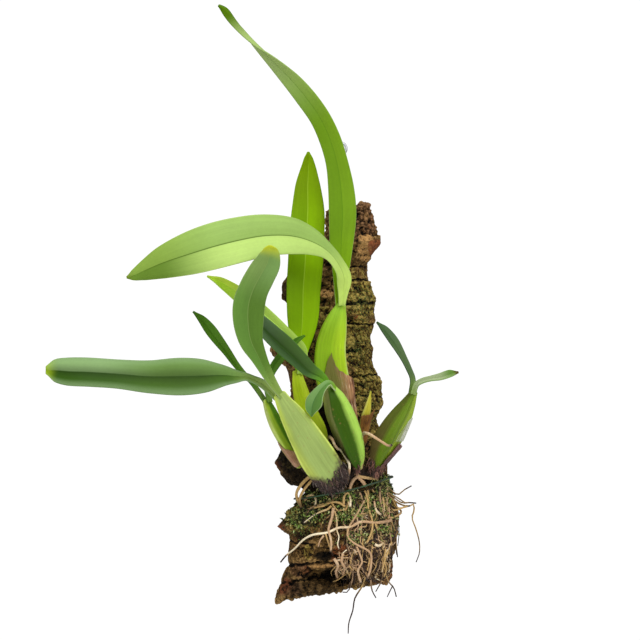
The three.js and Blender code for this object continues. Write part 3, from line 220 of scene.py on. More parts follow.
# Papery sheaths: the pseudobulb that each covers, its slot, its colours (dark, light, strands and its
# side with the larger angles), the share of its width where that side starts, its foot as a share of
# the bulb's length, its form (how far it stands off the bulb, is ribbed, flares and is torn), and its
# torn upper edge as [angle, share of the bulb's length]
SHEATHS = {
    "sheath_lime": {"bulb": 4, "slot": "sheath_brown",
                    "colours": ("#5c341a", "#c08a60", "#e8cca8", "#74722a"), "side": 0.5, "foot": 0.93,
                    "form": (0.3, 0.36, 0.8, 0.02),
                    "torn": [[-72, 0.8], [-35, 0.66], [0, 0.56], [20, 0.48], [38, 0.34], [55, 0.4],
                             [75, 0.47], [92, 0.6], [108, 0.72]]},
    "sheath_dark": {"bulb": 2, "slot": "sheath_brown",
                    "colours": ("#a87454", "#cca080", "#8c6048", "#b09458"), "side": 0.72, "foot": 0.98,
                    "form": (0.15, 0.15, 0.2, 0.02),
                    "torn": [[30, 0.9], [60, 0.8], [85, 0.73], [110, 0.69], [132, 0.65], [152, 0.6],
                             [172, 0.56], [200, 0.62], [235, 0.7]]},
    "sheath_olive": {"bulb": 5, "slot": "sheath_brown",
                     "colours": ("#4a2a2c", "#8a5c54", "#b88878", "#5e3a34"), "side": 0.8, "foot": 0.99,
                     "form": (0.3, 0.4, 1.3, 0.06),
                     "torn": [[-70, 0.7], [-30, 0.66], [0, 0.6], [14, 0.62], [26, 0.76], [42, 0.78],
                              [60, 0.88], [105, 0.95]]},
    "sheath_olive_pale": {"bulb": 5, "slot": "sheath_pale",
                          "colours": ("#c0c8a0", "#e8ecdc", "#d4dcc0", "#a8b870"), "side": 0.58,
                          "foot": 0.58, "form": (-0.1, 0.06, 0, 0.01),
                          "torn": [[-60, 0.3], [-25, 0.27], [0, 0.33], [20, 0.42], [40, 0.52]]},
}

# Roots on the bark: name, the root that each grows from, start and end radius, and [x, z] points
MAT_ROOTS = [
    ("crown", None, [1.5, 1.5],
     [[-12, -269], [-4, -266], [5, -265], [15, -263], [25.5, -260], [34.5, -259], [38, -261]]),
    ("right_1", "crown", [1.3, 0.6],
     [[27, -261], [36, -266], [44, -272], [51.5, -274.5], [55.5, -273], [56, -277.5], [54.5, -283],
      [57.5, -292], [60, -302], [60, -310], [57.5, -317]]),
    ("right_2", "crown", [1.3, 1],
     [[30.5, -261], [39, -266], [46.5, -271.5], [52.5, -271.5], [57.5, -272]]),
    ("right_3", "crown", [1.3, 1], [[22.5, -262], [32, -271], [40.5, -277], [48, -275], [52.5, -274]]),
    ("down_1", "crown", [1.5, 0.6],
     [[19.5, -262], [21.5, -272], [23, -286], [24, -302], [21, -319], [16.5, -334], [11, -343.5],
      [9.5, -352.5], [6.5, -362], [6, -370]]),
    ("down_2", "crown", [1.4, 0.9], [[28.5, -261], [30.5, -272], [34.5, -285], [38, -298.5], [39, -313.5]]),
    ("down_3", "crown", [1.4, 0.9],
     [[15.5, -263], [18, -274.5], [13.5, -282], [7.5, -292], [5, -302], [9, -313.5]]),
    ("down_4", "crown", [1.6, 0.8], [[4.5, -265], [5, -274.5], [0, -281]]),
    ("down_5", "crown", [1.2, 0.7], [[-6, -267], [-5.5, -278], [-2.5, -291], [0, -305]]),
    ("down_6", "crown", [1.3, 0.8], [[34, -260], [35, -272], [38, -287], [38, -304.5], [35, -321]]),
    ("arch", "crown", [1.4, 0.8], [[-1.5, -266], [-11.5, -271.5], [-22, -275], [-28, -286]]),
    ("stub", "crown", [0.9, 0.7], [[36, -261], [43.5, -265.5], [48.5, -262], [54, -259]]),
    ("crossing", "down_6", [1.5, 0.8],
     [[47, -280], [39, -284], [27, -286], [15.5, -285], [7.5, -289], [-1.5, -289.5], [-9, -293],
      [-21, -295], [-28, -299], [-34.5, -306], [-40.5, -311], [-45, -316.5]]),
    ("low_1", "crossing", [1.1, 0.7], [[-10, -293], [-8.5, -302], [-5.5, -310.5]]),
    ("low_2", "crossing", [1.2, 0.6],
     [[25.5, -286], [28.5, -298.5], [31.5, -315], [36.5, -331], [40.5, -336], [42.5, -343]]),
    ("low_3", "down_1", [1.1, 0.7], [[24, -302], [22.5, -315], [23, -328.5], [24, -337.5], [27, -343.5]]),
    ("low_4", "low_2", [1, 0.6], [[31.5, -315], [31.5, -329], [27, -339]]),
    ("low_5", "down_3", [1, 0.6], [[5, -302], [9, -315], [9.5, -327], [7.5, -335], [5, -339], [2, -339]]),
    ("fringe", "crossing", [0.9, 0.6], [[43.5, -282], [42, -295], [42.5, -304.5], [43.5, -313]]),
]

# Single roots from the creeping stem: slot, tone, hue, how thick the seen root is next to its solid,
# and its arms as start and end radius and [x, out, z] points
STEM_ROOTS = {
    "root_left": {"slot": "root", "tone": [[0, 0.8], [0.3, 1.0], [0.8, 0.75], [1, 0.4]], "hue": 0.25,
                  "grown": 0.95,
                  "arms": [([1.5, 1],
                            [[-19, 49, -251], [-24, 54, -252], [-30, 54, -258], [-33, 48, -264],
                             [-31, 39, -271], [-29, 37, -275]]),
                           ([1.2, 0.9],
                            [[-19, 49, -251], [-23, 53, -255.5], [-28, 50, -262], [-30.5, 43, -268.5],
                             [-29, 37, -275]])]},
    "root_middle": {"slot": "root_tan", "tone": [[0, 0.6], [0.6, 0.95], [1, 0.8]], "hue": 1.0, "grown": 1.0,
                    "arms": [([1.6, 1.1],
                              [[13, 49, -250.5], [10, 48.3, -253.5], [8, 47.2, -257.5], [7, 46.5, -261]]),
                             ([1.6, 1.1],
                              [[13, 49, -250.5], [15, 48.6, -253], [18, 47, -256.5], [19, 46, -259]]),
                             ([1.3, 0.9],
                              [[13, 49, -250.5], [20, 48.6, -252], [26, 47, -252.6], [29, 46.4, -252.8]])]},
    "root_pale": {"slot": "root_pale",
                  "tone": [[0, 0.3], [0.3, 0.5], [0.38, 1.5], [0.62, 1.7], [0.7, 1.2], [1, 1.0]],
                  "hue": 0.8, "grown": 1.15,
                  "arms": [([0.9, 1],
                            [[5, 50.5, -256], [5.5, 55, -252], [6.5, 59, -247], [6.5, 61, -241],
                             [3.5, 60, -235.5], [0.5, 60, -231], [-2.5, 64, -229.5], [-4.5, 67, -226.5],
                             [-6, 67, -223], [-8.5, 62, -220.5]])]},
    "root_tan": {"slot": "root_tan", "tone": [[0, 1.2], [0.5, 1.2], [0.85, 0.9], [1, 0.7]], "hue": 0.9,
                 "grown": 1.15,
                 "arms": [([1.2, 0.8],
                           [[13, 47, -234], [15, 50, -225], [17, 54, -219], [20.5, 62, -218.5],
                            [26, 68, -221.5], [31.5, 70.5, -225], [36, 71, -227.5], [38.5, 70, -227]])]},
}

# The young shoot and its bract
SHOOT = {"spine": [[16.5, 39, -227], [17.2, 43, -217], [19, 47, -206], [21, 49, -198], [22.6, 50, -188.5]],
         "widths": [5, 6.5, 6.5, 4.6, 1.2], "flats": [90, 180, 270, 360], "depth": 0.75}
BRACT = {"torn": [[60, 0.58], [110, 0.64], [160, 0.72], [210, 0.7], [250, 0.5]], "foot": 0.05}

# The tie's route round the slab, in front and behind
TIE_PATH = [
    [-34.5, 10, -268.7], [-33.6, 22, -268.5], [-29.5, 33, -268], [-22, 42.5, -266.8], [-11, 48, -264.6],
    [0, 51.2, -263], [9, 52, -260.7], [18, 52, -258.2], [27, 50.5, -255.4], [34, 43.5, -253.2],
    [38.5, 31, -252.2], [39.6, 16, -252], [38.4, 4.5, -252], [34, 1.5, -252.8], [3, 1.4, -260.6],
    [-28, 1.5, -268.2], [-33.2, 3.6, -268.7],
]

# The hanger: its twisted neck and its legs before, in and behind the slab
NECK_TOP = -11
NECK_BOTTOM = -25
NECK_STEPS = 12
NECK_TURN = 3 * math.pi
HANGER_FRONT = [[2, 8, -34], [4, 14, -43], [6, 20, -47.5], [7, 24.5, -53], [6.5, 25, -59.5]]
HANGER_HOLE = [[6, 20, -61.5], [6, 10, -61.5], [6, 3.6, -61]]
HANGER_BACK = [[5.8, 1.5, -57], [4.6, 1.5, -47], [3, 1.8, -36]]
EYE_START = -75
EYE_END = 255
EYE_STEP = 30

# How each leaf is coloured: its slot, the colours of its stalk, of its left and right halves, of the
# same halves further out, of its tip, midrib and margin, then the midrib's and margin's widths as
# shares of the half width, where the far part and the tip start, as shares of the length, and how
# much painted shade darkens it towards its midrib. The halves' colours hold painted light and shade
# as well as the leaf's own green: one half painted lit and the other painted shaded, and some far
# parts painted lighter to make up for shade in the scene.
LEAF_LOOKS = {
    "leaf_1a": ("leaf_grey", "#86a04e", "#638b39", "#597d2c", "#7b9851", "#72944f", "#b9c22c", "#7e9751",
                "#9cb177", 0.05, 0.05, 0.5, 0.86, 0.1),
    "leaf_1b": ("leaf_green", "#9ab45e", "#45681d", "#6c9044", "#375b13", "#8daf70", "#9cb81c", "#264407",
                "#7c9a66", 0.07, 0.45, 0.4, 0.9, 0.5),
    "leaf_2a": ("leaf_deep", "#6f8f3e", "#4e7c1c", "#598624", "#497619", "#4e7c1e", "#6b4a22", "#376012",
                "#3a6417", 0.1, 0.05, 0.5, 0.97, 0),
    "leaf_2b": ("leaf_deep", "#6f8f3e", "#4e7c1c", "#598624", "#497619", "#4e7c1e", "#8aa03a", "#376012",
                "#4a7424", 0.1, 0.05, 0.5, 0.96, 0),
    "leaf_3a": ("leaf_blue", "#6aa027", "#3b592b", "#425f2a", "#49653b", "#4f6944", "#5a8038", "#2c4c12",
                "#5a9030", 0.34, 0.05, 0.4, 0.96, 0.4),
    "leaf_3b": ("leaf_grey", "#81ad30", "#578038", "#739a55", "#537a35", "#5d8644", "#b0c67d", "#3b6c31",
                "#bfd099", 0.08, 0.13, 0.5, 0.96, 0.1),
    "leaf_4a": ("leaf_green", "#84b010", "#699016", "#739a1b", "#9cb46c", "#a0b96a", "#547808", "#507d0f",
                "#9cb76b", 0.05, 0.05, 0.42, 0.79, 0),
    "leaf_4b": ("leaf_pale", "#c6e36e", "#b4d270", "#97b85e", "#618029", "#84a342", "#7e851e", "#415f08",
                "#bfd67e", 0.06, 0.05, 0.5, 0.94, 0),
    "leaf_5a": ("leaf_grey", "#6e893c", "#4f663d", "#51683f", "#425b34", "#4a633d", "#324d27", "#39552c",
                "#2e4a2c", 0.1, 0.08, 0.4, 0.94, 0),
    "leaf_5b": ("leaf_pale", "#879e57", "#96a679", "#9aa97e", "#5f8634", "#6a8c40", "#54461c", "#4e6e30",
                "#83a25b", 0.1, 0.08, 0.5, 0.8, 0),
    "leaf_6a": ("leaf_lime", "#9ec80a", "#77a100", "#89b501", "#749501", "#7b9f01", "#94b41d", "#a8cc39",
                "#7aa80f", 0.05, 0.04, 0.5, 0.97, 0),
    "leaf_6b": ("leaf_fresh", "#b8dc60", "#a4cc58", "#a8cc54", "#caf943", "#deff53", "#bdde50", "#dbff78",
                "#cde584", 0.06, 0.08, 0.5, 0.97, 0),
}

# How each pseudobulb is coloured: its slot, the colours of its left as the viewer sees it, of the
# same near the foot, of its middle, its right, its ridges, its foot and its top, then the angles
# between those parts, the softness of their edges, where the foot starts and the top ends, as
# shares of the length, and the strength of the ridges. The left, middle and right colours are
# painted light and shade on the bulb's green, lighter on the side towards the light and darker on
# the side away from it, with painted shadow low on the left of some, and the ridges' colour is
# partly their own paler colour and partly a painted highlight.
BULB_LOOKS = {
    1: ("bulb_pale", "#b0c24e", "#a6b452", "#9cb262", "#a6bc52", "#dcec74", "#4c3c38", "#94a646", 136, 36,
        14, 0.78, 0.1, 0.9),
    2: ("bulb_dark", "#cfe07c", "#bcd85c", "#a4c438", "#4e7c18", "#c8d870", "#b98a64", "#9cae58", 112, 62,
        20, 0.97, 0.05, 0.3),
    3: ("bulb_bright", "#989c5a", "#34301a", "#385a08", "#b0dc5c", "#b0c468", "#c8a878", "#ccf474", 116, 20,
        10, 0.93, 0.12, 0.4),
    4: ("bulb_lime", "#b0d428", "#a8c824", "#88b01c", "#a8cc26", "#ecf0a8", "#a0764c", "#9ccc3c", 140, 30,
        20, 0.95, 0.3, 0.4),
    5: ("bulb_olive", "#525e1c", "#5a4e2a", "#64801e", "#a0bc34", "#a8c44c", "#6a4a3c", "#6c8c1c", 140, 46,
        26, 0.94, 0.1, 0.15),
    6: ("bulb_yellow", "#b9cf23", "#b1c720", "#aac418", "#b5cb2a", "#bbc742", "#7d6e35", "#98ae2a", 120, 60,
        20, 0.95, 0.2, 0.3),
}

# Fibres at the bulbs' feet: how many, the shares of the bulb's length and the angles where they
# start, their lengths, how far they stand off the skin, their tones and their hue
FOOT_FIBRES = {
    1: (380, (0.87, 1.1), (-10, 200), (1.5, 4.5), (0, 0.5), (-0.2, 0.75), 0.4),
    3: (26, (0.99, 1.1), (20, 160), (2, 5), (0, 0.4), (0.2, 1.0), 0.8),
    5: (150, (0.97, 1.1), (-30, 190), (2.5, 7), (0, 0.9), (0.1, 1.3), 0.95),
}

# Patches of the bark's colouring, as (x, z, half width, half height, strength)
BARK_PATCHES = {
    "moss": [
        (16, -118, 16, 16, 0.8), (12, -150, 18, 20, 1), (20, -190, 16, 26, 1), (-20, -140, 16, 20, 0.5),
        (22, -215, 12, 14, 0.6), (14, -240, 20, 10, 0.7), (-32, -282, 12, 10, 0.9), (0, -272, 26, 10, 0.8),
        (25, -272, 18, 10, 0.9), (-40, -236, 10, 14, 0.4), (-44, -262, 8, 10, 0.5), (-12, -150, 10, 20, 0.5),
        (8, -98, 12, 10, 0.5), (24, -337, 20, 4, 0.4), (-24, -308, 5, 6, 0.6), (-14, -128, 8, 8, 0.5),
    ],
    "rust": [
        (27, -79, 7, 8, 0.8), (27, -152, 4, 12, 1), (14, -131, 5, 5, 0.7), (-46, -291, 5, 4, 0.8),
        (14, -184, 6, 4, 0.6), (4, -312, 12, 12, 0.7), (30, -325, 16, 14, 0.5), (24, -60, 5, 12, 0.3),
        (-43, -323, 4, 4, 0.7), (-47, -243, 4, 4, 0.6), (-28, -322, 8, 5, 0.4), (-36, -300, 6, 14, 0.35),
        (-44, -334, 10, 10, 0.45),
    ],
    "plum": [
        (16, -57, 16, 17, 1), (-30, -322, 9, 6, 1), (-46, -284, 6, 12, 1), (-40, -336, 12, 8, 0.6),
        (27, -150, 4, 14, 0.6),
    ],
    "pale": [
        (19, -71.5, 7, 3, 1), (18.5, -80, 7, 6, 0.75), (19, -87, 5, 3, 0.8), (-14, -318.5, 12, 2.4, 1),
        (-11.5, -113.5, 8, 3.6, 1), (-15, -140, 6, 16, 0.5), (12, -128, 8, 3, 0.4), (-20, -307, 4, 4, 0.5),
        (-30, -324, 6, 4, 0.4), (20, -56, 3, 6, 0.5), (22, -100, 5, 3, 0.4),
    ],
}
# Patches of painted shade in the bark's hollows and where the pseudobulbs shade it, as (x, z, half width,
# half height, strength)
PAINTED_SHADE_PATCHES = [
    (-3, -326, 14, 7, 1), (-12, -311, 8, 4, 1), (-22, -336, 28, 9, 0.6), (5, -328, 7, 6, 0.9),
    (-8, -216, 18, 26, 0.95), (4, -58, 8, 16, 0.8), (-20, -262, 24, 9, 1), (-30, -246, 14, 14, 1),
    (-40, -256, 10, 10, 0.8), (-22, -330, 12, 6, 0.55), (-6, -86, 8, 18, 0.5), (-40, -112, 8, 10, 0.6),
    (26, -240, 12, 8, 0.6), (-28, -296, 8, 6, 0.7), (-38, -334, 16, 12, 0.4), (-30, -303, 12, 10, 0.2),
    (0, -250, 40, 10, 0.8), (-40, -238, 10, 12, 0.95), (-32, -262, 16, 8, 0.9),
]

# The smoother knob at the bark's upper right, as one such patch
KNOB_PATCH = [(23, -77, 9, 8, 1)]

# Cracks across the bark, cut into its relief and darkened with painted shade, as (z, from x, to x, half
# width, slope)
BARK_CRACKS = [
    (-93.5, 4, 17, 0.5, 0.03), (-103, 5, 21, 0.7, -0.02), (-120.8, 4, 26, 1.3, 0.02),
    (-136, 2, 27, 0.6, -0.05), (-157, 2, 12, 1.2, 0.04), (-176, 12, 30, 0.5, 0.1),
    (-190, 8, 32, 0.5, -0.06), (-203, 14, 32, 0.6, 0.05), (-268, -46, -20, 0.9, 0.1),
    (-300, -44, -20, 0.7, -0.1), (-319, -40, 10, 0.9, 0.08), (-333, -46, -18, 0.7, 0.2),
]

# How the mat's large roots are toned, as [share of the length, tone], how thick the seen root is next
# to its solid, and its hue
LARGE_ROOTS = {
    "crown": (0.1, 0.6, 0),
    "crossing": ([[0, 0.6], [0.25, 0.9], [0.4, 1.2], [0.6, 1.5], [0.9, 1.6], [0.93, 0], [1, -0.4]], 0.8,
                 0.6),
    "right_1": ([[0, 0.3], [0.35, 0.7], [0.5, 0.9], [0.75, 0.5], [0.92, 0.2], [1, -0.4]], 0.62, 0.1),
    "right_2": ([[0, 0.3], [0.8, 0.5], [0.88, -0.4], [1, -0.6]], 0.5, 0),
    "right_3": ([[0, 0.6], [0.9, 0.9], [1, 0.2]], 0.6, 0.2),
    "down_1": ([[0, 0.9], [0.6, 0.9], [0.72, 0.4], [0.8, -0.3], [1, -0.1]], 0.72, 0.3),
}

# Roots that stand out on the mat: tones at both ends, hue, radii at both ends, how high they lie
# over the bark, their (x, z) points and the root that they grow from, if any
SEEN_ROOTS = [
    (0.95, 0.85, 0, 0.95, 0.75, 3.0,
     [(3.5, -273.5), (-0.2, -271.0), (-3.5, -270.4), (-7.7, -270.8), (-12.5, -273.0), (-17.5, -274.2),
      (-21.0, -275.6)]),
    (0.9, 1.5, 0, 0.95, 0.3, 3.2,
     [(-6.8, -273.0), (-9.4, -275.6), (-14.1, -277.2), (-19.4, -280.1), (-23.9, -283.3), (-27.8, -286.2)]),
    (0.9, 0.7, 0, 0.8, 0.5, 3.2, [(-6.2, -271.5), (-4.0, -274.5), (-1.4, -277.2)]),
    (0.9, 0.8, 0, 0.8, 0.6, 3.0, [(3.5, -275.6), (0.9, -276.0), (-1.4, -277.2)]),
    (1.0, 1.3, 0, 1.1, 0.8, 3.4,
     [(-26.5, -269.0), (-24.0, -266.2), (-20.6, -265.6), (-18.2, -268.5), (-18.8, -273.0)]),
    (0.9, 1.3, 0, 1.0, 0.7, 3.6,
     [(2.6, -272.0), (3.0, -266.0), (5.4, -263.4), (7.4, -267.0), (7.6, -274.5)]),
    (0.95, 1.1, 1, 1.2, 0.8, 3.2,
     [(-5.1, -274.5), (-6.2, -281.2), (-7.7, -286.5), (-8.9, -291.0), (-7.3, -297.3), (-6.8, -302.5),
      (-7.3, -307.5)]),
    (0.95, 1.6, 0.4, 0.7, 0.35, 3.4,
     [(-4.4, -276.8), (-3.5, -279.3), (-2.5, -286.5), (-2.5, -291.8), (-1.0, -296.2), (-2.0, -302.0),
      (-0.7, -306.0)]),
    (1.0, 0.8, 0.8, 0.75, 0.4, 2.6, [(-12.5, -295.5), (-15.2, -299.2), (-16.7, -304.1)]),
    (0.9, 0.9, 0, 0.75, 0.75, 3.2,
     [(18.4, -261.8), (20.5, -268.0), (21.1, -275.5), (23.2, -281.0), (24.2, -286.4), (23.8, -291.8),
      (21.1, -298.5), (19.1, -302.2)]),
    (0.7, 1.0, 0.6, 0.75, 0.9, 3.0,
     [(19.3, -267.0), (14.3, -276.2), (9.5, -284.2), (6.2, -289.8), (5.5, -295.9), (8.4, -299.6),
      (13.6, -302.9), (21.1, -307.0), (23.2, -310.3), (23.2, -317.2), (21.8, -323.9), (19.8, -328.7)]),
    (0.8, 1.1, 0, 0.6, 0.7, 3.0, [(29.2, -258.8), (31.3, -265.4), (32.7, -272.2), (33.0, -278.2)]),
    (1.1, 1.3, 0.7, 0.7, 1.1, 2.8, [(25.6, -270.0), (26.2, -274.5), (27.5, -277.5), (30.5, -279.8)]),
    (0.7, 0.5, 0, 0.55, 0.5, 2.2, [(30.5, -258.0), (36.7, -264.0), (43.5, -268.0), (49.6, -272.2)]),
    (0.6, 0.8, 0, 0.5, 0.6, 2.0,
     [(32.7, -262.0), (39.4, -269.4), (42.8, -274.9), (46.3, -275.6), (50.8, -273.8)]),
    (0.9, 0.6, 0.3, 0.55, 0.4, 2.4, [(32.0, -270.0), (36.7, -275.5), (41.3, -279.8)]),
    (1.0, 0.7, 0.4, 0.95, 0.7, 2.0,
     [(35.8, -283.1), (40.3, -282.0), (44.0, -280.9), (46.3, -278.6), (45.2, -277.0)]),
    (0.5, -0.3, 0.6, 0.4, 0.3, 1.6, [(42.9, -281.2), (44.2, -288.0), (44.5, -296.2), (43.6, -304.5)]),
    (0.8, -0.2, 0.8, 0.4, 0.3, 2.2, [(41.4, -282.8), (42.5, -292.5), (41.9, -302.2), (42.7, -311.2)]),
    (0.6, 0.2, 0.8, 0.35, 0.3, 2.0, [(39.9, -284.2), (40.9, -294.0), (40.1, -304.5)]),
    (1.1, 0.9, 1, 1.2, 0.9, 2.2, [(-4.7, -312.8), (-1.7, -318.0), (-3.2, -323.2), (-1.7, -328.5)]),
    (1.0, 0.8, 1, 1.1, 0.8, 2.6, [(2.0, -309.0), (1.0, -315.0), (3.5, -320.2), (1.6, -326.2)]),
    (0.9, 1.1, 0.9, 0.75, 0.9, 2.8,
     [(12.3, -303.6), (14.8, -309.8), (16.3, -315.8), (13.3, -321.8), (15.7, -331.4)]),
    (0.9, 0.7, 0.2, 0.8, 0.7, 2.6, [(34.3, -306.0), (32.8, -313.5), (34.6, -321.0), (32.8, -327.8)]),
    (1.3, 1.1, 0.5, 1.2, 0.9, 2.8, [(26.0, -302.2), (29.0, -303.4), (32.4, -301.1)]),
    (0.9, 1.1, 0.1, 0.7, 0.8, 2.8, [(38.8, -300.8), (35.8, -308.2), (33.1, -315.8), (30.9, -324.0)]),
    (0.8, 1.2, 0.2, 0.6, 0.7, 2.6, [(3.5, -261.8), (5.0, -267.8), (7.6, -274.5)]),
    (0.2, -0.4, 0.5, 0.5, 0.35, 0, [(40.2, -335.6), (37.3, -339.0), (35.5, -342.9)], "low_2"),
]

# Where the finer roots start, the way that they run and how they look. Turn is in degrees, with 0
# to the right and 90 up; curl is how much a root's way changes on each step.
ROOT_MATS = [
    {"count": 110, "x": (8, 42), "z": (-262, -305), "turn": -90, "curl": 30, "length": (14, 46),
     "radius": (0.35, 0.8), "tone": (-0.5, 0.9), "pile": 2.8, "lowest": -336},
    {"count": 190, "x": (8, 43), "z": (-276, -326), "turn": -95, "curl": 50, "length": (8, 26),
     "radius": (0.25, 0.65), "tone": (-0.2, 1.3), "pile": 3.0, "lowest": -340},
    {"count": 34, "x": (-12, 12), "z": (-264, -290), "turn": -85, "curl": 42, "length": (10, 22),
     "radius": (0.3, 0.7), "tone": (0, 0.9), "pile": 1.6, "lowest": -306},
    {"count": 18, "x": (-26, 4), "z": (-265, -277), "turn": -155, "curl": 30, "length": (10, 22),
     "radius": (0.35, 0.7), "tone": (0.1, 0.9), "pile": 1.6, "lowest": -296},
    {"count": 44, "x": (-5, 14), "z": (-306, -324), "turn": -95, "curl": 70, "length": (6, 18),
     "radius": (0.3, 0.8), "tone": (0.4, 1.3), "pile": 2.4, "lowest": -332},
    {"count": 120, "x": (0, 44), "z": (-264, -330), "turn": -90, "curl": 80, "length": (6, 18),
     "radius": (0.13, 0.24), "tone": (-0.4, 0.8), "pile": 3.2, "lowest": -339},
    {"count": 30, "x": (-30, 0), "z": (-268, -300), "turn": -120, "curl": 80, "length": (6, 14),
     "radius": (0.13, 0.22), "tone": (-0.4, 0.6), "pile": 1.2, "lowest": -306},
]
ROOT_STRIDE = 4

# How far out a root lies that runs wholly beside the bark
BESIDE_OUT = 36

# Moss: its patches, the share of the tries (one in so many), then the spikes' lengths, widths and tones
# and how high they may start over the bark
MOSS_KINDS = [
    ([(-2, -272, 24, 10, 1), (28, -264, 14, 8, 1), (-27, -284, 12, 13, 0.9), (8, -284, 20, 9, 0.6)],
     3, (1.2, 3.2), (0.16, 0.34), (-0.1, 1.0), 0),
    ([(4, -267, 30, 4, 1), (34, -258, 8, 7, 1), (31, -262, 6, 6, 1), (-34, -283, 8, 7, 0.6),
      (-16, -268, 14, 5, 1), (-22, -280, 12, 7, 0.5), (6, -266, 8, 5, 1)],
     4, (1.8, 4.5), (0.35, 1.0), (-0.5, 1.25), 3.4),
    ([(6, -280, 16, 6, 1), (26, -276, 13, 8, 1), (34, -290, 8, 8, 0.6), (14, -297, 12, 6, 0.5)],
     10, (2.0, 4.5), (0.4, 1.1), (0.1, 1.3), 3.4),
    ([(16, -120, 12, 16, 0.8), (14, -155, 14, 22, 1), (20, -195, 13, 24, 1), (-20, -140, 12, 20, 0.5)],
     3, (0.5, 1.3), (0.16, 0.4), (0.1, 0.9), 0),
]


def at(x, out, z):
    """A place in metres, from a place in millimetres."""
    return Vector((x, WIRE_BACK - out, z)) * MM


def place(point):
    return at(*point)


def lerp(low, high, share):
    return low + (high - low) * share


def ease(value, low, high):
    share = min(1, max(0, (value - low) / (high - low)))
    return share * share * (3 - 2 * share)


def keyed(rows, key):
    """Values between the rows of a list whose first column is the key."""
    rising = rows[0][0] < rows[-1][0]
    i = 1
    while i < len(rows) - 1 and (key > rows[i][0] if rising else key < rows[i][0]):
        i += 1
    low, high = rows[i - 1], rows[i]
    share = min(1, max(0, (key - low[0]) / (high[0] - low[0])))
    return [lerp(a, b, share) for a, b in zip(low[1:], high[1:])]


def bent(b, c, start, end, s):
    """A number or a point on the smooth line from b to c, with its slopes at both."""
    return (
        b + start * s
        + (3 * (c - b) - 2 * start - end) * s ** 2
        + (2 * (b - c) + start + end) * s ** 3
    )


def spread(values, t):
    """A value on the smooth line through evenly spaced ones."""
    walked = (len(values) - 1) * t
    i = min(int(walked), len(values) - 2)
    a, b, c, d = values[max(0, i - 1)], values[i], values[i + 1], values[min(i + 2, len(values) - 1)]
    return bent(b, c, (c - a) / 2, (d - b) / 2, walked - i)


def square_to(along, wanted):
    """A direction square to the path, as near as possible to the one asked for."""
    return (wanted - along * wanted.dot(along)).normalized()


class Route:
    """A smooth path through points, also walked by share of its length."""

    STEPS = 240

    def __init__(self, points, closed=False):
        self.points, self.closed = points, closed
        self.shares = [i / self.STEPS for i in range(self.STEPS + 1)]
        marks = [self.point(t) for t in self.shares]
        self.lengths = [0]
        for a, b in zip(marks, marks[1:]):
            self.lengths.append(self.lengths[-1] + (b - a).length)

    def point(self, t):
        points, count = self.points, len(self.points)
        walked = (count if self.closed else count - 1) * t
        i = min(int(walked), count - (1 if self.closed else 2))
        s = walked - i
        if self.closed:
            a, b, c, d = (points[(i + k) % count] for k in (-1, 0, 1, 2))
        else:
            b, c = points[i], points[i + 1]
            a = points[i - 1] if i else 2 * b - c
            d = points[i + 2] if i + 2 < count else 2 * c - b
        before, here, after = (max(1e-6, (q - p).length) ** 0.5 for p, q in ((a, b), (b, c), (c, d)))
        start = ((b - a) / before - (c - a) / (before + here) + (c - b) / here) * here
        end = ((c - b) / here - (d - b) / (here + after) + (d - c) / after) * here
        return bent(b, c, start, end, s)

    def tangent(self, t):
        return (self.point(min(1, t + 1e-4)) - self.point(max(0, t - 1e-4))).normalized()

    def t_at(self, share):
        return float(np.interp(share * self.lengths[-1], self.lengths, self.shares))

    def spaced(self, step):
        count = max(2, round(self.lengths[-1] / step))
        return [self.point(self.t_at(i / count)) for i in range(count + 1)]


# Shaping


def only(piece):
    """Selects one piece and makes it the active one."""
    bpy.ops.object.select_all(action="DESELECT")
    piece.select_set(True)
    bpy.context.view_layer.objects.active = piece


def grid(name, columns, rows, surface):
    """A grid with its points moved to surface(u, v), for u and v from 0 to 1."""
    bpy.ops.object.select_all(action="DESELECT")
    bpy.ops.mesh.primitive_grid_add(x_subdivisions=columns, y_subdivisions=rows, size=1)
    piece = bpy.context.object
    piece.name = piece.data.name = name
    for point in piece.data.vertices:
        point.co = surface(round(point.co.x + 0.5, 6), round(point.co.y + 0.5, 6))
    return piece


def note(piece, name, values):
    """Keeps one number for each point of a mesh, for its material."""
    layer = piece.data.attributes.new(name, "FLOAT", "POINT")
    layer.data.foreach_set("value", np.asarray(values, np.float32))


def improve(piece, kind, **settings):
    """Adds a modifier to a piece and applies it."""
    only(piece)
    bpy.ops.object.modifier_add(type=kind)
    modifier = piece.modifiers[-1]
    for name, value in settings.items():
        setattr(modifier, name, value)
    bpy.ops.object.modifier_apply(modifier=modifier.name)


def close_up(piece, reach=1e-6):
    """Turns a piece's faces outwards, and before that merges the points within reach."""
    only(piece)
    bpy.ops.object.mode_set(mode="EDIT")
    bpy.ops.mesh.select_all(action="SELECT")
    if reach:
        bpy.ops.mesh.remove_doubles(threshold=reach)
    bpy.ops.mesh.normals_make_consistent(inside=False)
    bpy.ops.object.mode_set(mode="OBJECT")


def read(items, field):
    """A field of many points or normals, as rows of three."""
    found = np.empty(len(items) * 3, np.float32)
    items.foreach_get(field, found)
    return found.reshape(-1, 3)


def skin_tree(name):
    """The skin of a finished piece, for what lies on it."""
    mesh = bpy.data.objects[name].data
    return BVHTree.FromPolygons([p.co for p in mesh.vertices], [f.vertices for f in mesh.polygons])


def copy_of(node, name):
    """A copy of a CAD node's solid with its loose triangles merged."""
    piece = bpy.data.objects.new(name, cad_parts[node].data.copy())
    piece.data.name = name
    bpy.context.scene.collection.objects.link(piece)
    close_up(piece, 1e-5)
    return piece


def settle(piece, material, slot, *nodes):
    """Finishes a piece: smooth faces, its material, what it rides on and what it stands for."""
    piece.data.materials.clear()
    piece.data.materials.append(material)
    only(piece)
    bpy.ops.object.shade_smooth()
    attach(piece, "root")
    if nodes:
        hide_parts(*nodes)


